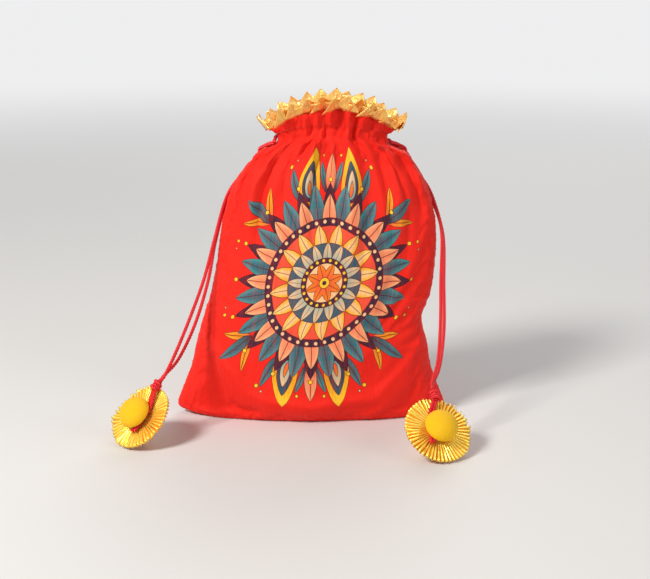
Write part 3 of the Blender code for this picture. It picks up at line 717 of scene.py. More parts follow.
def settled(side):
    """How far each point of a panel moves when its spare cloth buckles, in rows of a coarse grid."""
    levels = even_levels(SETTLE_ROWS + 1)
    rows = [sheet_row(t, SETTLE_COLUMNS, side=side, small=True) for t, _ in levels]
    sheet = add_piece("settling_cloth", grid_mesh("settling_cloth", rows, turned_over=side == BACK))
    held = sheet.vertex_groups.new(name="held")
    count = SETTLE_COLUMNS + 1
    for r, (t, _) in enumerate(levels):
        for c in range(count):
            from_side = min(c, SETTLE_COLUMNS - c) / SETTLE_COLUMNS * CLOTH_FLAT[0]
            free = min(between(SETTLE_FREE_ASIDE, from_side), between(SETTLE_FREE_UP, t))
            held.add([r * count + c], 1 - free, "REPLACE")
    cloth = sheet.modifiers.new("Cloth", "CLOTH")
    for setting, value in SETTLE_CLOTH.items():
        setattr(cloth.settings, setting, value)
    cloth.settings.effector_weights.gravity = SETTLE_GRAVITY
    cloth.collision_settings.use_collision = False
    cloth.point_cache.frame_start, cloth.point_cache.frame_end = 1, SETTLE_FRAMES
    for frame_number in range(1, SETTLE_FRAMES + 1):
        scene.frame_set(frame_number)
    after = plain(sheet).data.vertices
    moves = [[capped(after[r * count + c].co - p) for c, p in enumerate(row)] for r, row in enumerate(rows)]
    bpy.data.objects.remove(sheet)
    scene.frame_set(1)
    return moves


def move_at(moves, row_share, column_share):
    """The coarse grid's move at a share of its rows and of its columns, smoothly between its points."""
    y, x = row_share * (len(moves) - 1), column_share * (len(moves[0]) - 1)
    r, c = min(int(y), len(moves) - 2), min(int(x), len(moves[0]) - 2)
    y, x = y - r, x - c
    low = moves[r][c].lerp(moves[r][c + 1], x)
    high = moves[r + 1][c].lerp(moves[r + 1][c + 1], x)
    return low.lerp(high, y)


lining = make_lining()
printed_cloth = make_red_cloth("printed_red_cloth", True)
plain_cloth = make_red_cloth("plain_red_cloth", False)
panel_levels = even_levels(PANEL_ROWS + 1)


def make_panel(name, node, side, finish):
    rows = [sheet_row(t, PANEL_COLUMNS, side=side, small=True) for t, _ in panel_levels]
    moves = settled(side)
    rows = [[p + move_at(moves, r / PANEL_ROWS, c / PANEL_COLUMNS) for c, p in enumerate(row)]
            for r, row in enumerate(rows)]
    flat = [((c / PANEL_COLUMNS - 0.5) * CLOTH_FLAT[0], up)
            for _, up in panel_levels for c in range(PANEL_COLUMNS + 1)]
    panel = add_piece(name, grid_mesh(name, rows, flat, turned_over=side == BACK), finish, lining)
    thicken(panel, CLOTH_THICKNESS, inside=1)
    for vertex in panel.data.vertices:
        vertex.co.y = side * max(side * vertex.co.y, SEAM_GAP / 2)
        vertex.co.z = max(vertex.co.z, 0.0)
    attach(panel, "root")
    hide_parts(node)
    return panel


front_panel = make_panel("front_cloth", "front_panel", FRONT, printed_cloth)
back_panel = make_panel("back_cloth", "back_panel", BACK, plain_cloth)

# The side seams: the panels' edges are turned in and sewn together, so a narrow double strip of cloth stands
# inwards all along each side. It leaves the channel open, where the drawstrings come out.
ALLOWANCE_WIDTH = 0.0055
ALLOWANCE_WAVE = 0.0006
ALLOWANCE_INSET = 0.0005
ALLOWANCE_TURN = 0.0012
ALLOWANCE_HALF_THICKNESS = 0.0009
ALLOWANCE_STEPS = 220
LEFT, RIGHT = -1, 1


def make_side_seam(name, side, first, last):
    """The strip on one side, from one level up to another."""
    steps = max(6, round((last - first) * ALLOWANCE_STEPS / MOUTH))
    rings = []
    for i in range(steps + 1):
        t = first + (last - first) * i / steps
        level = level_at(t)
        line = oval(level)
        half_width = max(0.0001, seam_gap(t, line) - 0.0001)
        edge = Vector((level.left if side == LEFT else level.right, 0, level.side_z))
        inner = edge.x - side * (ALLOWANCE_WIDTH + ALLOWANCE_WAVE * ripple(t * 3, 0, side))
        outer = edge.x - side * ALLOWANCE_INSET
        turn = outer - side * ALLOWANCE_TURN
        half_ring = [(inner, ALLOWANCE_HALF_THICKNESS), (turn, half_width), (outer, half_width * 0.5)]
        ring = [(x, -y) for x, y in half_ring] + half_ring[::-1]
        rings.append([Vector((x, y, edge.z)) for x, y in ring])
    count = len(rings[0])
    faces = grid_faces(steps + 1, count, ring=True)
    faces += [tuple(reversed(range(count))), tuple(range(steps * count, (steps + 1) * count))]
    mesh = bpy.data.meshes.new(name)
    mesh.from_pydata([p for ring in rings for p in ring], [], flipped(faces) if side == LEFT else faces)
    seam = add_piece(name, mesh, lining)
    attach(seam, "root")
    return seam


side_seams = [make_side_seam(f"{word}_{part}_seam", side, first, last)
              for word, side in (("left", LEFT), ("right", RIGHT))
              for part, first, last in (("side", 1.0, CHANNEL_BOTTOM - 0.45),
                                        ("ruffle", CHANNEL_TOP + 0.3, MOUTH - 0.05))]

# The drawstring channel: a narrow tape inside each panel, sewn down along both its edges, so that two rows
# of red machine stitches show round the neck. The cords run behind it.
TAPE_THICKNESS = 0.0005
TAPE_COLUMNS = 90
TAPE_OVER_CORDS = CLOTH_THICKNESS + 2.6 * SEAM_GAP + CORD_DIAMETER
TAPE_SEAT = CLOTH_THICKNESS + SEAM_GAP
TAPE_PROFILE = ((14.3, TAPE_SEAT), (14.7, (TAPE_SEAT + TAPE_OVER_CORDS) / 2), (15.2, TAPE_OVER_CORDS),
                (16.0, TAPE_OVER_CORDS), (16.8, TAPE_OVER_CORDS),
                (17.2, (TAPE_SEAT + TAPE_OVER_CORDS) / 2), (17.6, TAPE_SEAT))
STITCH_LENGTH = 0.0019
STITCH_PITCH = 0.0027
THREAD_RADIUS = 0.00022
THREAD_RED = (0.70, 0.030, 0.022, 1)
THREAD_DEEP_RED = (0.50, 0.012, 0.012, 1)
TAPE_LOOSE = 0.0016


def new_tree(name, **inputs):
    """A Geometry Nodes tree whose inputs are named as (socket kind, value), and those inputs as fields."""
    tree = bpy.data.node_groups.new(name, "GeometryNodeTree")
    tree.interface.new_socket("Geometry", in_out="INPUT", socket_type="NodeSocketGeometry")
    for label, (kind, value) in inputs.items():
        socket = tree.interface.new_socket(label, in_out="INPUT", socket_type="NodeSocket" + kind)
        if value is not None:
            socket.default_value = value
    tree.interface.new_socket("Geometry", in_out="OUTPUT", socket_type="NodeSocketGeometry")
    given = tree.nodes.new("NodeGroupInput")
    return tree, {socket.name: Field(tree, socket) for socket in given.outputs}


def end_tree(tree, geometry, given):
    """The tree's last nodes: its instances made real, smooth, and in their material."""
    real = node_in(tree, "GeometryNodeRealizeInstances", {0: geometry})
    smooth = node_in(tree, "GeometryNodeSetShadeSmooth", {0: real})
    coated = node_in(tree, "GeometryNodeSetMaterial", {0: smooth, "Material": given["Material"]})
    ended = tree.nodes.new("NodeGroupOutput")
    tree.links.new(coated.outputs[0], ended.inputs[0])
    return tree


def grown(piece, tree, **values):
    """The piece after the tree has worked on it with those inputs, as a plain mesh."""
    step = piece.modifiers.new(tree.name, "NODES")
    step.node_group = tree
    for item in tree.interface.items_tree:
        if item.in_out == "INPUT" and item.name in values:
            step[item.identifier] = values[item.name]
    return plain(piece)


def line_mesh(name, points, closed=False):
    edges = [(i, i + 1) for i in range(len(points) - 1)] + [(len(points) - 1, 0)] * closed
    mesh = bpy.data.meshes.new(name)
    mesh.from_pydata(points, edges, [])
    return mesh


def stitch_tree():
    tree, given = new_tree("stitch_row", Pitch=("Float", STITCH_PITCH), Length=("Float", STITCH_LENGTH),
                           Thread=("Float", THREAD_RADIUS), Material=("Material", None))
    line = node_in(tree, "GeometryNodeMeshToCurve", {0: given["Geometry"]})
    spots = node_in(tree, "GeometryNodeResampleCurve", {0: line, "Length": given["Pitch"]},
                    mode="LENGTH")
    way = node_in(tree, "FunctionNodeAlignRotationToVector",
                  {"Vector": tree.nodes.new("GeometryNodeInputTangent")}, axis="X")
    size = node_in(tree, "ShaderNodeCombineXYZ",
                   {0: given["Length"] * 0.5, 1: given["Thread"], 2: given["Thread"]})
    bead = node_in(tree, "GeometryNodeMeshUVSphere", {"Segments": 6, "Rings": 5, "Radius": 1.0})
    placed = node_in(tree, "GeometryNodeInstanceOnPoints",
                     {"Points": spots, "Instance": bead, "Rotation": way, "Scale": size})
    return end_tree(tree, placed, given)


def make_thread():
    finish, tree, shader = new_finish("red_thread", 0.45)
    twist = noise_field(tree, object_places(tree), 2500.0)
    coat(tree, shader, mixed(tree, twist, THREAD_RED, THREAD_DEEP_RED))
    return finish


stitches = stitch_tree()
thread = make_thread()


def make_stitch_row(name, t, side, lift=0.0001):
    row = sheet_row(t, PANEL_COLUMNS, inward=-lift, side=side, small=True)[3:-3]
    piece = add_piece(name, line_mesh(name, row))
    grown(piece, stitches, Material=thread)
    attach(piece, "root")
    return piece


def make_tape(name, node, side):
    rows = []
    for t, inward in TAPE_PROFILE:
        row = sheet_row(t, TAPE_COLUMNS, inward, folded=False, side=side)
        loose = [max(0.0, ripple(i * 0.55, t * 0.4, side * 4.0)) for i in range(TAPE_COLUMNS + 1)]
        row = [p - Vector((0, side * loose[i] * TAPE_LOOSE, 0)) for i, p in enumerate(row)]
        rows.append(row[6:-6])
    tape = add_piece(name, grid_mesh(name, rows, turned_over=side == BACK), lining)
    thicken(tape, TAPE_THICKNESS)
    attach(tape, "root")
    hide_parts(node)
    return tape


sewn = {side: [make_tape(word + "_tape", word + "_channel_tape", side),
               make_stitch_row(word + "_lower_stitches", CHANNEL_BOTTOM - 0.25, side),
               make_stitch_row(word + "_upper_stitches", CHANNEL_TOP + 0.25, side)]
        for side, word in ((FRONT, "front"), (BACK, "back"))}

# The trim: metallic gold ribbon folded into points, one beside the other, and sewn along each panel's mouth.
# It leans outwards, so that the front's shows from above and the back's stands up behind it.
TRIM_POINTS = 13
TRIM_HEIGHT = 0.0108
TRIM_LEAN = 0.85
TRIM_THICKNESS = 0.0004
TRIM_BAND_HEIGHT = 0.0056
TRIM_BAND_BELOW = 0.0012
TRIM_POINT_WIDTH = 1.75
GOLD = (0.98, 0.60, 0.085, 1)
# The trim's orange is painted shade and reflected red, and its pale gold is painted highlight.
PAINTED_SHADE_GOLD = (0.90, 0.28, 0.020, 1)
PAINTED_HIGHLIGHT_GOLD = (1.0, 0.88, 0.50, 1)
TRIM_SWAY = ((-0.16, -0.10, 0.10), (0.16, 0.10, 0.26))
TRIM_SIZES = (0.88, 1.08)
TRIM_CRINKLE = 0.0012


def make_gold(name):
    """Metallic ribbon, crinkled where it is folded, with painted light: orange painted shade and reflected
    red in random patches, and pale painted highlights on its threads.
    """
    finish, tree, shader = new_finish(name, 0.27, 0.62)
    places = object_places(tree)
    patches = noise_field(tree, places, 150.0, 3.0, 0.6)
    threads = noise_field(tree, stretched(tree, places, 2600, 2600, 500), 1.0, 2.0, 0.6)
    # Painted shade: orange, standing for shade and reflected red, laid in random patches over the gold.
    tone = mixed(tree, (patches * 2.4 - 0.70).clamped(), PAINTED_SHADE_GOLD, GOLD)
    # Painted highlights: pale gold on the threads.
    colour = mixed(tree, (threads * 2.6 - 1.15).clamped(), tone, PAINTED_HIGHLIGHT_GOLD)
    coat(tree, shader, colour, patches + threads * 0.10, 0.0005)
    return finish


gold_trim = make_gold("gold_trim")


def folded_point():
    """A point of the trim: ribbon folded to a triangle, 1 wide and 1 high, its flaps meeting in front."""
    rows = []
    for i in range(9):
        up = i / 8
        half_width = 0.5 * (1 - up) + 0.02
        rows.append([Vector((half_width * across,
                             -0.05 * (1 - up) ** 0.7 * (1 - abs(across)) + 0.03 * (abs(across) < 0.1)
                             + 0.035 * math.sin(math.pi * up) * across, up))
                     for across in (-1, -0.75, -0.5, -0.25, -0.1, 0, 0.1, 0.25, 0.5, 0.75, 1)])
    return add_piece("folded_point", grid_mesh("folded_point", rows))


def trim_tree(point):
    """Folded points along a line, each one turned to the line's own ways and a little out of true."""
    tree, given = new_tree("trim_points", Width=("Float", 0.01), Height=("Float", 0.01),
                           Seed=("Int", 0), Material=("Material", None))
    ways = [node_in(tree, "GeometryNodeInputNamedAttribute", {"Name": name}, data_type="FLOAT_VECTOR")
            for name in ("way", "along")]
    turn = node_in(tree, "FunctionNodeAlignRotationToVector", {"Vector": ways[0]}, axis="Z")
    turn = node_in(tree, "FunctionNodeAlignRotationToVector",
                   {"Rotation": turn, "Vector": ways[1]}, axis="X", pivot_axis="Z")
    sway = node_in(tree, "FunctionNodeRandomValue",
                   {0: TRIM_SWAY[0], 1: TRIM_SWAY[1], "Seed": given["Seed"]}, data_type="FLOAT_VECTOR")
    sway = node_in(tree, "FunctionNodeEulerToRotation", {0: sway})
    turn = node_in(tree, "FunctionNodeRotateRotation", {0: turn, 1: sway}, rotation_space="LOCAL")
    size = node_in(tree, "FunctionNodeRandomValue",
                   {2: TRIM_SIZES[0], 3: TRIM_SIZES[1], "Seed": given["Seed"] + 7},
                   data_type="FLOAT")
    size = Field(tree, size.outputs[1])
    size = node_in(tree, "ShaderNodeCombineXYZ",
                   {0: given["Width"], 1: given["Width"], 2: size * given["Height"]})
    shape = node_in(tree, "GeometryNodeObjectInfo", {0: point})
    placed = node_in(tree, "GeometryNodeInstanceOnPoints",
                     {"Points": given["Geometry"], "Instance": shape.outputs["Geometry"],
                      "Rotation": turn, "Scale": size})
    return end_tree(tree, placed, given)


def mouth_lines(side, count):
    """Points along a panel's mouth edge, the way that the trim stands at each, and the way along."""
    columns = PANEL_COLUMNS
    edge = evenly(sheet_row(MOUTH, columns, side=side, small=True), count)
    inner = evenly(sheet_row(MOUTH, columns, folded=False, side=side), count)
    outer = evenly(sheet_row(MOUTH, columns, -MOUTH_FOLD, folded=False, side=side), count)
    found = []
    for i, p in enumerate(edge):
        outward = Vector((outer[i].x - inner[i].x, outer[i].y - inner[i].y, 0)).normalized()
        way = (outward * TRIM_LEAN + Vector((0, 0, 1))).normalized()
        along = (edge[min(i + 1, count - 1)] - edge[max(i - 1, 0)]).normalized()
        found.append((p, way, along, outward))
    return found


point = folded_point()
trim_points = trim_tree(point)


def make_trim(name, node, side, seed):
    """The band along the mouth, and the points that stand out of it."""
    fine = mouth_lines(side, TRIM_POINTS * 12 + 1)
    rows = []
    for share in (0.0, 0.25, 0.5, 0.75, 1.0):
        up = -TRIM_BAND_BELOW + (TRIM_BAND_HEIGHT + TRIM_BAND_BELOW) * share
        row = []
        for i, (p, way, _, outward) in enumerate(fine):
            crinkle = ripple(i * 0.55, share * 2.0, 31.0 + seed) * TRIM_CRINKLE * (0.3 + share)
            row.append(p + way * up + outward * (TRIM_THICKNESS * 1.2 + crinkle))
        rows.append(row)
    band = add_piece(name, grid_mesh(name, rows, turned_over=side == BACK), gold_trim)
    thicken(band, TRIM_THICKNESS)

    places = mouth_lines(side, 2 * TRIM_POINTS + 1)[1::2]
    line = line_mesh(name + "_points", [p + outward * TRIM_THICKNESS for p, _, _, outward in places])
    for label, values in (("way", [way for _, way, _, _ in places]),
                          ("along", [along * -side for _, _, along, _ in places])):
        held = line.attributes.new(label, "FLOAT_VECTOR", "POINT")
        for i, value in enumerate(values):
            held.data[i].vector = value
    pitch = length_of([p for p, _, _, _ in fine]) / TRIM_POINTS
    points = grown(add_piece(name + "_points", line), trim_points, Width=pitch * TRIM_POINT_WIDTH,
                   Height=TRIM_HEIGHT, Seed=seed, Material=gold_trim)
    thicken(points, TRIM_THICKNESS, offset=0)
    for piece in (band, points):
        for vertex in piece.data.vertices:
            vertex.co.y = side * max(side * vertex.co.y, SEAM_GAP)
        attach(piece, "root")
    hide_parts(node)
    return [band, points]


sewn[FRONT] += make_trim("front_trim_band", "front_trim", FRONT, 3)
sewn[BACK] += make_trim("back_trim_band", "back_trim", BACK, 11)
bpy.data.objects.remove(point)

# The drawstrings: red satin cord, twisted from three plies. Each is one cord that goes once round the neck
# in the channel and comes out again on its own side, from where its two ends hang to their tassel.
CORD_LAY = 0.0062
CORD_PLIES = 3
CORD_RING, CORD_PLY = 0.250, 0.295
CORD_STEP = 0.00050
CORD_ROUTE_STEP = 0.0025
LANE_POINTS, LANE_STEPS = 13, 12
KNOT_HALF_LENGTH = 0.0042
CORD_RED = (0.86, 0.012, 0.020, 1)
CORD_DEEP_RED = (0.55, 0.005, 0.010, 1)
# Where a strand lies on the bag below its opening, as (level, distance behind the side seam), and then the
# points that it hangs through on its way to its knot, for the front strand and the back one.
STRAND_PLACES = ((14.6, 0.0), (14.0, 0.0015), (13.5, 0.0045), (13.1, 0.0080), (12.7, 0.0110), (12.3, 0.0115),
                 (11.8, 0.0080), (11.3, 0.0035))
LEFT_FREE_POINTS = (
    ((-0.0632, -0.0060, 0.1230), (-0.0700, -0.0150, 0.0980), (-0.0790, -0.0260, 0.0740),
     (-0.0880, -0.0370, 0.0530)),
    ((-0.0632, -0.0010, 0.1200), (-0.0680, -0.0070, 0.0950), (-0.0760, -0.0190, 0.0690),
     (-0.0860, -0.0330, 0.0490)),
)
RIGHT_FREE_POINTS = (
    ((0.0868, -0.0050, 0.1270), (0.0858, -0.0180, 0.0980), (0.0846, -0.0350, 0.0730),
     (0.0820, -0.0510, 0.0530)),
    ((0.0882, 0.0005, 0.1240), (0.0884, -0.0110, 0.0940), (0.0876, -0.0280, 0.0670),
     (0.0835, -0.0470, 0.0480)),
)


def make_satin_cord():
    finish, tree, shader = new_finish("satin_cord", 0.38)
    places = object_places(tree)
    threads = noise_field(tree, places, 1800.0, 3.0, 0.7)
    patches = noise_field(tree, places, 160.0)
    colour = mixed(tree, (threads * 1.4 + patches * 0.6 - 0.65).clamped(), CORD_RED, CORD_DEEP_RED)
    coat(tree, shader, colour, threads, 0.00012)
    return finish


def cord_tree():
    """Plies twisted round a line: their circles go along the line and turn as they go."""
    tree, given = new_tree("plied_cord", Diameter=("Float", CORD_DIAMETER), Lay=("Float", CORD_LAY),
                           Plies=("Int", CORD_PLIES), Step=("Float", CORD_STEP),
                           Material=("Material", None))
    line = node_in(tree, "GeometryNodeMeshToCurve", {0: given["Geometry"]})
    fine = node_in(tree, "GeometryNodeResampleCurve", {0: line, "Length": given["Step"]}, mode="LENGTH")
    gone = Field(tree, tree.nodes.new("GeometryNodeSplineParameter").outputs["Length"])
    twist = gone / given["Lay"] * (2 * math.pi)
    turned_line = node_in(tree, "GeometryNodeSetCurveTilt", {0: fine, "Tilt": twist})
    ring = node_in(tree, "GeometryNodeMeshCircle",
                   {"Vertices": given["Plies"], "Radius": given["Diameter"] * CORD_RING})
    ply = node_in(tree, "GeometryNodeCurvePrimitiveCircle",
                  {"Resolution": 8, "Radius": given["Diameter"] * CORD_PLY})
    plies = node_in(tree, "GeometryNodeInstanceOnPoints", {"Points": ring, "Instance": ply})
    plies = node_in(tree, "GeometryNodeRealizeInstances", {0: plies})
    swept = node_in(tree, "GeometryNodeCurveToMesh", {0: turned_line, 1: plies, "Fill Caps": True})
    return end_tree(tree, swept, given)


satin_cord = make_satin_cord()
plied_cord = cord_tree()


def smooth_route(points, spacing):
    """Points every spacing along a smooth curve through the given ones."""
    fine = []
    padded = [points[0], *points, points[-1]]
    for near in zip(padded, padded[1:], padded[2:], padded[3:]):
        for step in range(8):
            fine.append(Vector([smooth_between(*values, step / 8) for values in zip(*near)]))
    fine.append(points[-1])
    return evenly(fine, max(2, round(length_of(fine) / spacing) + 1))


def make_plied(name, line, diameter=CORD_DIAMETER):
    """A twisted cord along a line."""
    piece = add_piece(name, line_mesh(name, line))
    grown(piece, plied_cord, Diameter=diameter, Material=satin_cord)
    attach(piece, "root")
    return piece


def lane(height):
    """The closed oval that a cord follows in the channel, from the left tip along the front, and back."""
    level = level_at(NECK)
    inward = CLOTH_THICKNESS + 1.4 * SEAM_GAP + CORD_DIAMETER / 2
    line = oval(level, LANE_POINTS * LANE_STEPS)
    normals = normals_of(line)
    half_round = [line[i] - normals[i] * inward for i in range(0, len(line), LANE_STEPS)]
    front = [Vector((p.x, -p.y, height_at(level, p.x) + height)) for p in half_round]
    back = [Vector((p.x, -p.y, p.z)) for p in reversed(front[1:-1])]
    return front, back


def beside_bag(side, t, y, away):
    """The point that is away from the bag's outside at level t, at y behind the side seam."""
    level, above, below = level_at(t), level_at(t + 0.2), level_at(t - 0.2)
    row = sheet_row(t, 36)[::-side]
    i = next(i for i in range(1, len(row)) if abs(row[i].y) > abs(y))
    on = row[i - 1].lerp(row[i], max(0.0, (abs(y) - abs(row[i - 1].y)) / abs(row[i].y - row[i - 1].y)))
    half_width, slope = (level.right - level.left) / 2, level.roundness - 1
    out_x = max(0.0, 1 - (abs(y) / level.depth) ** level.roundness) ** (slope / level.roundness) / half_width
    out_y = math.copysign((abs(y) / level.depth) ** slope / level.depth, y)
    widening = side * (above.left - below.left if side == LEFT else above.right - below.right)
    out = Vector((side * out_x, out_y, 0)).normalized()
    out = (out - Vector((0, 0, widening / (above.side_z - below.side_z)))).normalized()
    return Vector((on.x, y, on.z)) + out * away


def drawstring_lines(side, knot, free_points):
    """A drawstring's line round the channel, and the lines of its two free strands, from side to knot."""
    height = -side * (CORD_DIAMETER + 1.5 * SEAM_GAP) / 2
    front, back = lane(height)
    apart = CORD_DIAMETER / 2 + 0.8 * SEAM_GAP
    away = CORD_DIAMETER / 2 + 3 * SEAM_GAP
    if side == LEFT:
        round_channel = front[2:] + back[:-1]
    else:
        round_channel = list(reversed(front[:-2])) + list(reversed(back[1:]))
    neck = level_at(NECK)
    x_tip = neck.left if side == LEFT else neck.right
    knot_end, knot_way = knot
    knot_across = (Vector((0, 1, 0)) - knot_way * knot_way.y).normalized() * apart
    insides, strands = [], []
    for front_or_back, points in ((-1, free_points[0]), (1, free_points[1])):
        across = front_or_back * apart
        inside, leaving = (Vector((x_tip + side * out, across * spread,
                                   height_at(neck, x_tip + side * out) + height))
                           for out, spread in ((-1.5 * CORD_DIAMETER, 1.15), (0.6 * CORD_DIAMETER, 1.0)))
        over = [beside_bag(side, t, across + behind, away) for t, behind in STRAND_PLACES]
        ends = [knot_end + knot_way * out + knot_across * front_or_back for out in (KNOT_HALF_LENGTH, 0.0)]
        insides.append(inside)
        strands.append(smooth_route([leaving, *over, *map(Vector, points), *ends], CORD_ROUTE_STEP))
    hidden = [strands[0][0], insides[0], *round_channel, insides[1], strands[1][0]]
    return smooth_route(hidden, CORD_ROUTE_STEP), strands


# The tassels: at the end of each drawstring a disc of pleated gold ribbon is held between two yellow covered
# buttons. The pouch stands on a table, and each tassel leans there on its rim, its front button outwards.
KNOT_RADIUS = 0.0031
RUFFLE_RADIUS = 0.0220
RUFFLE_HOLE_RADIUS = 0.0022
RUFFLE_THICKNESS = 0.0005
RUFFLE_PLEATS = 50
RUFFLE_PLEAT_HEIGHT = 0.0014
RUFFLE_HUB_PLEAT_HEIGHT = 0.0004
Tassel = collections.namedtuple("Tassel", "side faces cord_way tail_side free_points seed")
# Each tassel's side, the ways that its front button faces and that its cord leaves it, the side of the shank
# that its tails pass, its strands' free points, and the seed of its ruffle's waves.
TASSELS = {
    "left": Tassel(LEFT, (-0.502, -0.508, 0.697), (0.561, 0.366, 0.740), 1, LEFT_FREE_POINTS, 2.0),
    "right": Tassel(RIGHT, (0.295, -0.615, 0.732), (0.010, 0.368, 0.923), -1, RIGHT_FREE_POINTS, 6.0),
}


def tassel_place(word, faces, cord_way):
    """The matrix from a tassel's own axes, z out of the front button and y to its cord, to the frame's."""
    low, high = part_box(word + "_tassel_ruffle")
    z = Vector(faces).normalized()
    y = Vector(cord_way)
    y = (y - z * y.dot(z)).normalized()
    axes = Matrix((y.cross(z), y, z)).transposed()
    return Matrix.Translation((low + high) / 2) @ axes.to_4x4()


def pleat_top(radius):
    """How high the ruffle's pleats stand at a radius, above its middle."""
    share = (radius - RUFFLE_HOLE_RADIUS) / (RUFFLE_RADIUS - RUFFLE_HOLE_RADIUS)
    height = RUFFLE_HUB_PLEAT_HEIGHT + (RUFFLE_PLEAT_HEIGHT - RUFFLE_HUB_PLEAT_HEIGHT) * share
    return height + RUFFLE_THICKNESS / 2


# A ruffle: gold ribbon in some fifty narrow pleats, drawn up along one edge into a disc. Its outer edge is
# free, so the pleats open and wave a little there.
RUFFLE_WAVE = 0.0020
RUFFLE_ROWS = 14
RUFFLE_STEPS = 8
RUFFLE_GOLD = (1.0, 0.74, 0.080, 1)
# The ruffle's orange is painted shade in the pleats' depths, and its pale gold is painted highlight.
RUFFLE_PAINTED_SHADE_GOLD = (0.90, 0.32, 0.008, 1)
RUFFLE_PAINTED_HIGHLIGHT_GOLD = (1.0, 0.92, 0.40, 1)


def make_ruffle_gold():
    """Metallic ribbon whose pleats run out from the middle, with painted light: orange painted shade in
    their depths, gold on their ridges, and pale painted highlights on its threads.
    """
    finish, tree, shader = new_finish("gold_ribbon", 0.25, 0.60)
    places = object_places(tree)
    height = Field(tree, node_in(tree, "ShaderNodeAttribute", attribute_name="ridge").outputs["Fac"])
    patches = noise_field(tree, places, 200.0, 2.0)
    threads = noise_field(tree, places, 1800.0, 2.0)
    # Painted shade: the pleats' depths orange and their ridges gold, by the ridge height.
    tone = mixed(tree, (height * 1.1 + patches * 0.5 - 0.25).clamped(), RUFFLE_PAINTED_SHADE_GOLD, RUFFLE_GOLD)
    # Painted highlights: pale gold flecks on the threads.
    colour = mixed(tree, (threads * 2.4 - 1.10).clamped(), tone, RUFFLE_PAINTED_HIGHLIGHT_GOLD)
    coat(tree, shader, colour, patches * 0.6 + threads * 0.12, 0.0004)
    return finish


def ruffle_tree():
    """A flat grid rolled into a pleated disc. Its edge waves by noise that is read round a circle."""
    tree, given = new_tree("pleated_ruffle", Pleats=("Int", RUFFLE_PLEATS),
                           Hole=("Float", RUFFLE_HOLE_RADIUS), Rim=("Float", RUFFLE_RADIUS),
                           Hub=("Float", RUFFLE_HUB_PLEAT_HEIGHT), Fold=("Float", RUFFLE_PLEAT_HEIGHT),
                           Wave=("Float", RUFFLE_WAVE), Seed=("Float", 0.0), Material=("Material", None))
    pleats = given["Pleats"]
    sheet = node_in(tree, "GeometryNodeMeshGrid",
                    {"Size X": 1.0, "Size Y": 1.0, "Vertices X": pleats * RUFFLE_STEPS + 1,
                     "Vertices Y": RUFFLE_ROWS})
    place = node_in(tree, "ShaderNodeSeparateXYZ", {0: tree.nodes.new("GeometryNodeInputPosition")})
    u, v = Field(tree, place.outputs[0]) + 0.5, Field(tree, place.outputs[1]) + 0.5
    turn = u * (2 * math.pi)
    round_spot = node_in(tree, "ShaderNodeCombineXYZ",
                         {0: turn.math("COSINE"), 1: turn.math("SINE"), 2: given["Seed"] + v * 0.25})
    slow = noise_field(tree, round_spot, 1.3, 1.0) - 0.5
    quick = noise_field(tree, round_spot, 7.0, 2.0) - 0.5
    phase = u * pleats + quick * 0.9 * v
    saw = abs(phase - phase.math("FLOOR") - 0.5) * 4 - 1
    ridge = saw * 1.25 - saw * saw * saw * 0.25
    hole, rim, hub, fold, wave = (given[name] for name in ("Hole", "Rim", "Hub", "Fold", "Wave"))
    radius = hole + (rim - hole + (quick * 2.2 + slow * 1.2 + ridge * 0.25) * wave * 0.5 * v) * v
    height = (hub + (fold - hub) * v) * ridge * (quick * 1.8 + 1) + (slow * 3.0 + quick * 1.4) * wave * v * v
    put = node_in(tree, "ShaderNodeCombineXYZ",
                  {0: radius * turn.math("COSINE"), 1: radius * turn.math("SINE"), 2: height})
    marked = node_in(tree, "GeometryNodeStoreNamedAttribute",
                     {0: sheet, "Name": "ridge", "Value": ridge * 0.5 + 0.5}, domain="POINT",
                     data_type="FLOAT")
    rolled = node_in(tree, "GeometryNodeSetPosition", {0: marked, "Position": put})
    closed = node_in(tree, "GeometryNodeMergeByDistance", {0: rolled, "Distance": 0.00001})
    return end_tree(tree, closed, given)


gold_ribbon = make_ruffle_gold()
pleated_ruffle = ruffle_tree()


def make_ruffle(word, place, seed):
    name = word + "_ruffle"
    ruffle = grown(add_piece(name, line_mesh(name, [(0, 0, 0)])), pleated_ruffle, Seed=seed,
                   Material=gold_ribbon)
    thicken(ruffle, RUFFLE_THICKNESS, offset=0)
    ruffle.data.transform(place)
    for vertex in ruffle.data.vertices:
        vertex.co.z = max(vertex.co.z, 0.0001)
    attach(ruffle, "root")
    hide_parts(word + "_tassel_ruffle")
    return ruffle


# The buttons: domes covered with bright yellow cloth, which is drawn under their rims in small pleats. The
# front and the back button of a tassel are sewn to each other through the ruffle's hole.
BUTTON_RADIUS = 0.0107
BUTTON_HEIGHT = 0.0086
BUTTON_SHANK_RADIUS = 0.0030
BUTTON_RIM = 0.0010
BUTTON_TUCKS = 26
BUTTON_TUCK_WIDTH, BUTTON_TUCK_HEIGHT = 0.00022, 0.00016
BUTTON_STEPS = 104
BUTTON_WEAVE_PITCH = 0.00055
TAIL_DIAMETER = 0.0030
BUTTON_YELLOW = (1.0, 0.60, 0.006, 1)
BUTTON_DEEP_YELLOW = (0.94, 0.42, 0.003, 1)


def make_button_cloth():
    finish, tree, shader = new_finish("yellow_cloth", 0.60)
    places, across, up = cloth_places(tree)
    weave = woven(across, up, BUTTON_WEAVE_PITCH)
    threads = noise_field(tree, stretched(tree, places, 900, 900), 1.0, 3.0, 0.7)
    colour = mixed(tree, (threads * 1.3 + weave * 0.15 - 0.35).clamped(), BUTTON_YELLOW, BUTTON_DEEP_YELLOW)
    shader.inputs["Sheen Weight"].default_value = 0.08
    shader.inputs["Sheen Tint"].default_value = (1.0, 0.80, 0.30, 1)
    shader.inputs["Specular IOR Level"].default_value = 0.25
    coat(tree, shader, colour, weave * 0.5 + threads, 0.00016)
    return finish


yellow_cloth = make_button_cloth()


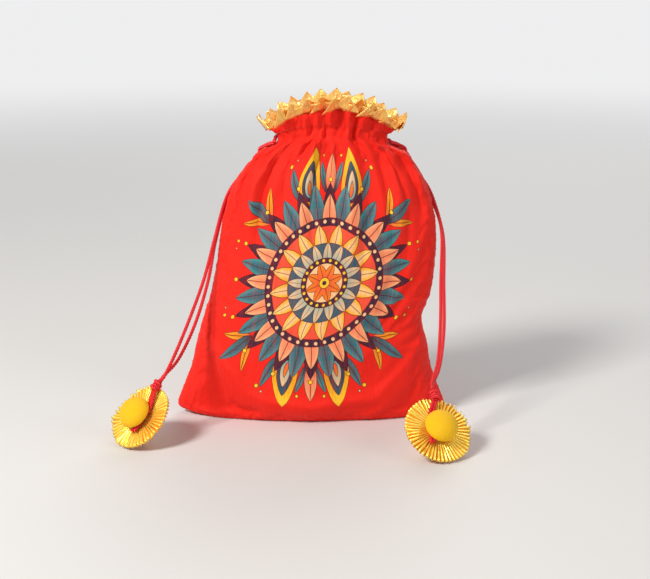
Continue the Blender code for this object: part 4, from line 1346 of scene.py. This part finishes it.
def button_profile(seat, hub):
    """A covered button's outline as (radius, height, share of the tucks), from crown to shank."""
    rim = seat + BUTTON_RIM
    dome = [(BUTTON_RADIUS * math.sin(math.radians(a)), rim + BUTTON_HEIGHT * math.cos(math.radians(a)), 0.0)
            for a in range(3, 91, 4)]
    turn = [(BUTTON_RADIUS - 0.00008, rim - 0.0003, 0.4), (BUTTON_RADIUS - 0.0004, rim - 0.0007, 0.8),
            (BUTTON_RADIUS - 0.0012, seat, 1.0), (BUTTON_RADIUS - 0.0030, seat, 1.0),
            (BUTTON_SHANK_RADIUS + 0.0012, seat, 0.6), (BUTTON_SHANK_RADIUS, seat - 0.0002, 0.2)]
    return dome + turn + [(BUTTON_SHANK_RADIUS, hub, 0.0), (BUTTON_SHANK_RADIUS * 0.5, hub, 0.0)]


def tuck_height(angle, facing):
    """How far the cloth's tucks under a button's rim stand out at an angle."""
    return math.cos(angle * BUTTON_TUCKS) + 0.5 * ripple(angle * 4, 5.0 * facing, 0)


def make_button(name, node, place, seat, hub, facing):
    """A button turned from its outline, tucked under its rim, on one side of its ruffle."""
    outline = button_profile(seat, hub)
    points, flat = [Vector((0, 0, seat + BUTTON_RIM + BUTTON_HEIGHT))], [(0.0, 0.0)]
    for radius, z, tuck in outline:
        for i in range(BUTTON_STEPS):
            angle = 2 * math.pi * i / BUTTON_STEPS
            fold = tuck_height(angle, facing)
            r = radius + BUTTON_TUCK_WIDTH * tuck * fold
            flat.append((r * math.cos(angle), r * math.sin(angle)))
            points.append(Vector((*flat[-1], z + BUTTON_TUCK_HEIGHT * tuck * fold)))
    points.append(Vector((0, 0, hub)))
    flat.append((0.0, 0.0))
    rings, steps = len(outline), BUTTON_STEPS
    faces = [(0, 1 + i, 1 + (i + 1) % steps) for i in range(steps)]
    for r in range(rings - 1):
        for i in range(steps):
            a, b = 1 + r * steps + i, 1 + r * steps + (i + 1) % steps
            faces.append((a, a + steps, b + steps, b))
    last = len(points) - 1
    faces += [(last, 1 + (rings - 1) * steps + (i + 1) % steps, 1 + (rings - 1) * steps + i)
              for i in range(steps)]
    mesh = smooth_mesh(name, points, faces, flat)
    over = Matrix.Rotation(math.pi, 4, "X") if facing < 0 else Matrix.Identity(4)
    mesh.transform(place @ over)
    button = add_piece(name, mesh, yellow_cloth)
    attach(button, "root")
    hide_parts(node)
    return button


# The knots and tails: a drawstring's two ends are tied in one tight knot above the ruffle's edge, and run on
# side by side between the ruffle and the front button, where they are sewn down.
KNOT_TURNS = 2.6
KNOT_STEPS = 60
KNOT_SWELL = 0.0003
TAILS_ASIDE = (-0.00105, 0.00105)


def knot_line(middle):
    """The wraps of a tight knot: a cord that goes round two others, and crosses over itself."""
    points = []
    for i in range(KNOT_STEPS + 1):
        share = i / KNOT_STEPS
        angle = 2 * math.pi * KNOT_TURNS * share
        radius = KNOT_RADIUS - CORD_DIAMETER * 0.40 + KNOT_SWELL * math.sin(angle * 0.5)
        points.append(middle + Vector((radius * math.cos(angle), (share - 0.5) * 2 * KNOT_HALF_LENGTH * 0.62,
                                       radius * math.sin(angle))))
    return points


def make_tassel(word, tassel):
    """A tassel with its knot and tails, and the drawstring that ends in it."""
    place = tassel_place(word, tassel.faces, tassel.cord_way)
    node = word + "_tassel_"
    on_pleats = pleat_top(BUTTON_RADIUS) + SEAM_GAP
    on_hub = pleat_top(BUTTON_SHANK_RADIUS) + SEAM_GAP
    front_seat = on_pleats + TAIL_DIAMETER + SEAM_GAP
    ruffle = make_ruffle(word, place, tassel.seed)
    front = make_button(word + "_front_button", node + "front_button", place, front_seat, on_hub, 1)
    back = make_button(word + "_back_button", node + "back_button", place, on_pleats, on_hub, -1)

    knot_middle = Vector((0, RUFFLE_RADIUS, pleat_top(RUFFLE_RADIUS) + SEAM_GAP + KNOT_RADIUS))
    wraps = [place @ p for p in smooth_route(knot_line(knot_middle), 0.0005)]
    core = [place @ (knot_middle + Vector((0, y, 0))) for y in
            (-KNOT_HALF_LENGTH, -0.5 * KNOT_HALF_LENGTH, 0, 0.5 * KNOT_HALF_LENGTH, KNOT_HALF_LENGTH)]
    knot = make_plied(word + "_knot", wraps, CORD_DIAMETER)
    knot_core = make_plied(word + "_knot_core", smooth_route(core, 0.001), CORD_DIAMETER * 1.5)
    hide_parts(node + "knot")

    beside_shank = tassel.tail_side * (BUTTON_SHANK_RADIUS + TAIL_DIAMETER / 2 + 2 * SEAM_GAP)
    tail_start = knot_middle - Vector((0, KNOT_HALF_LENGTH * 0.6, 0))
    under = on_pleats + TAIL_DIAMETER / 2
    tails = []
    for i, aside in enumerate(TAILS_ASIDE):
        line = [tail_start, Vector((beside_shank * 0.6, BUTTON_RADIUS * 1.1, under + SEAM_GAP)),
                Vector((beside_shank, BUTTON_RADIUS * 0.55, under)),
                Vector((beside_shank * 1.1, -BUTTON_RADIUS * 0.45, under)),
                Vector((beside_shank * 1.3, -BUTTON_RADIUS * (1.0 - 0.12 * i), under))]
        line = [place @ (p + Vector((aside, 0, 0))) for p in smooth_route(line, 0.0015)]
        tails.append(make_plied(f"{word}_tail_{i + 1}", line, TAIL_DIAMETER * 0.80))
    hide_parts(node + "cord_tail")

    knot_end = place @ (knot_middle + Vector((0, KNOT_HALF_LENGTH, 0)))
    knot_way = place.to_3x3() @ Vector((0, 1, 0))
    hidden, strands = drawstring_lines(tassel.side, (knot_end, knot_way), tassel.free_points)
    channel = make_plied(word + "_cord_in_channel", hidden)
    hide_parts(word + "_drawstring")
    for label, line, on_it in (("front", strands[0], [knot, knot_core, *tails, ruffle, front, back]),
                               ("back", strands[1], [])):
        strand = make_plied(f"{word}_cord_{label}_strand", line)


for word, tassel in TASSELS.items():
    make_tassel(word, tassel)
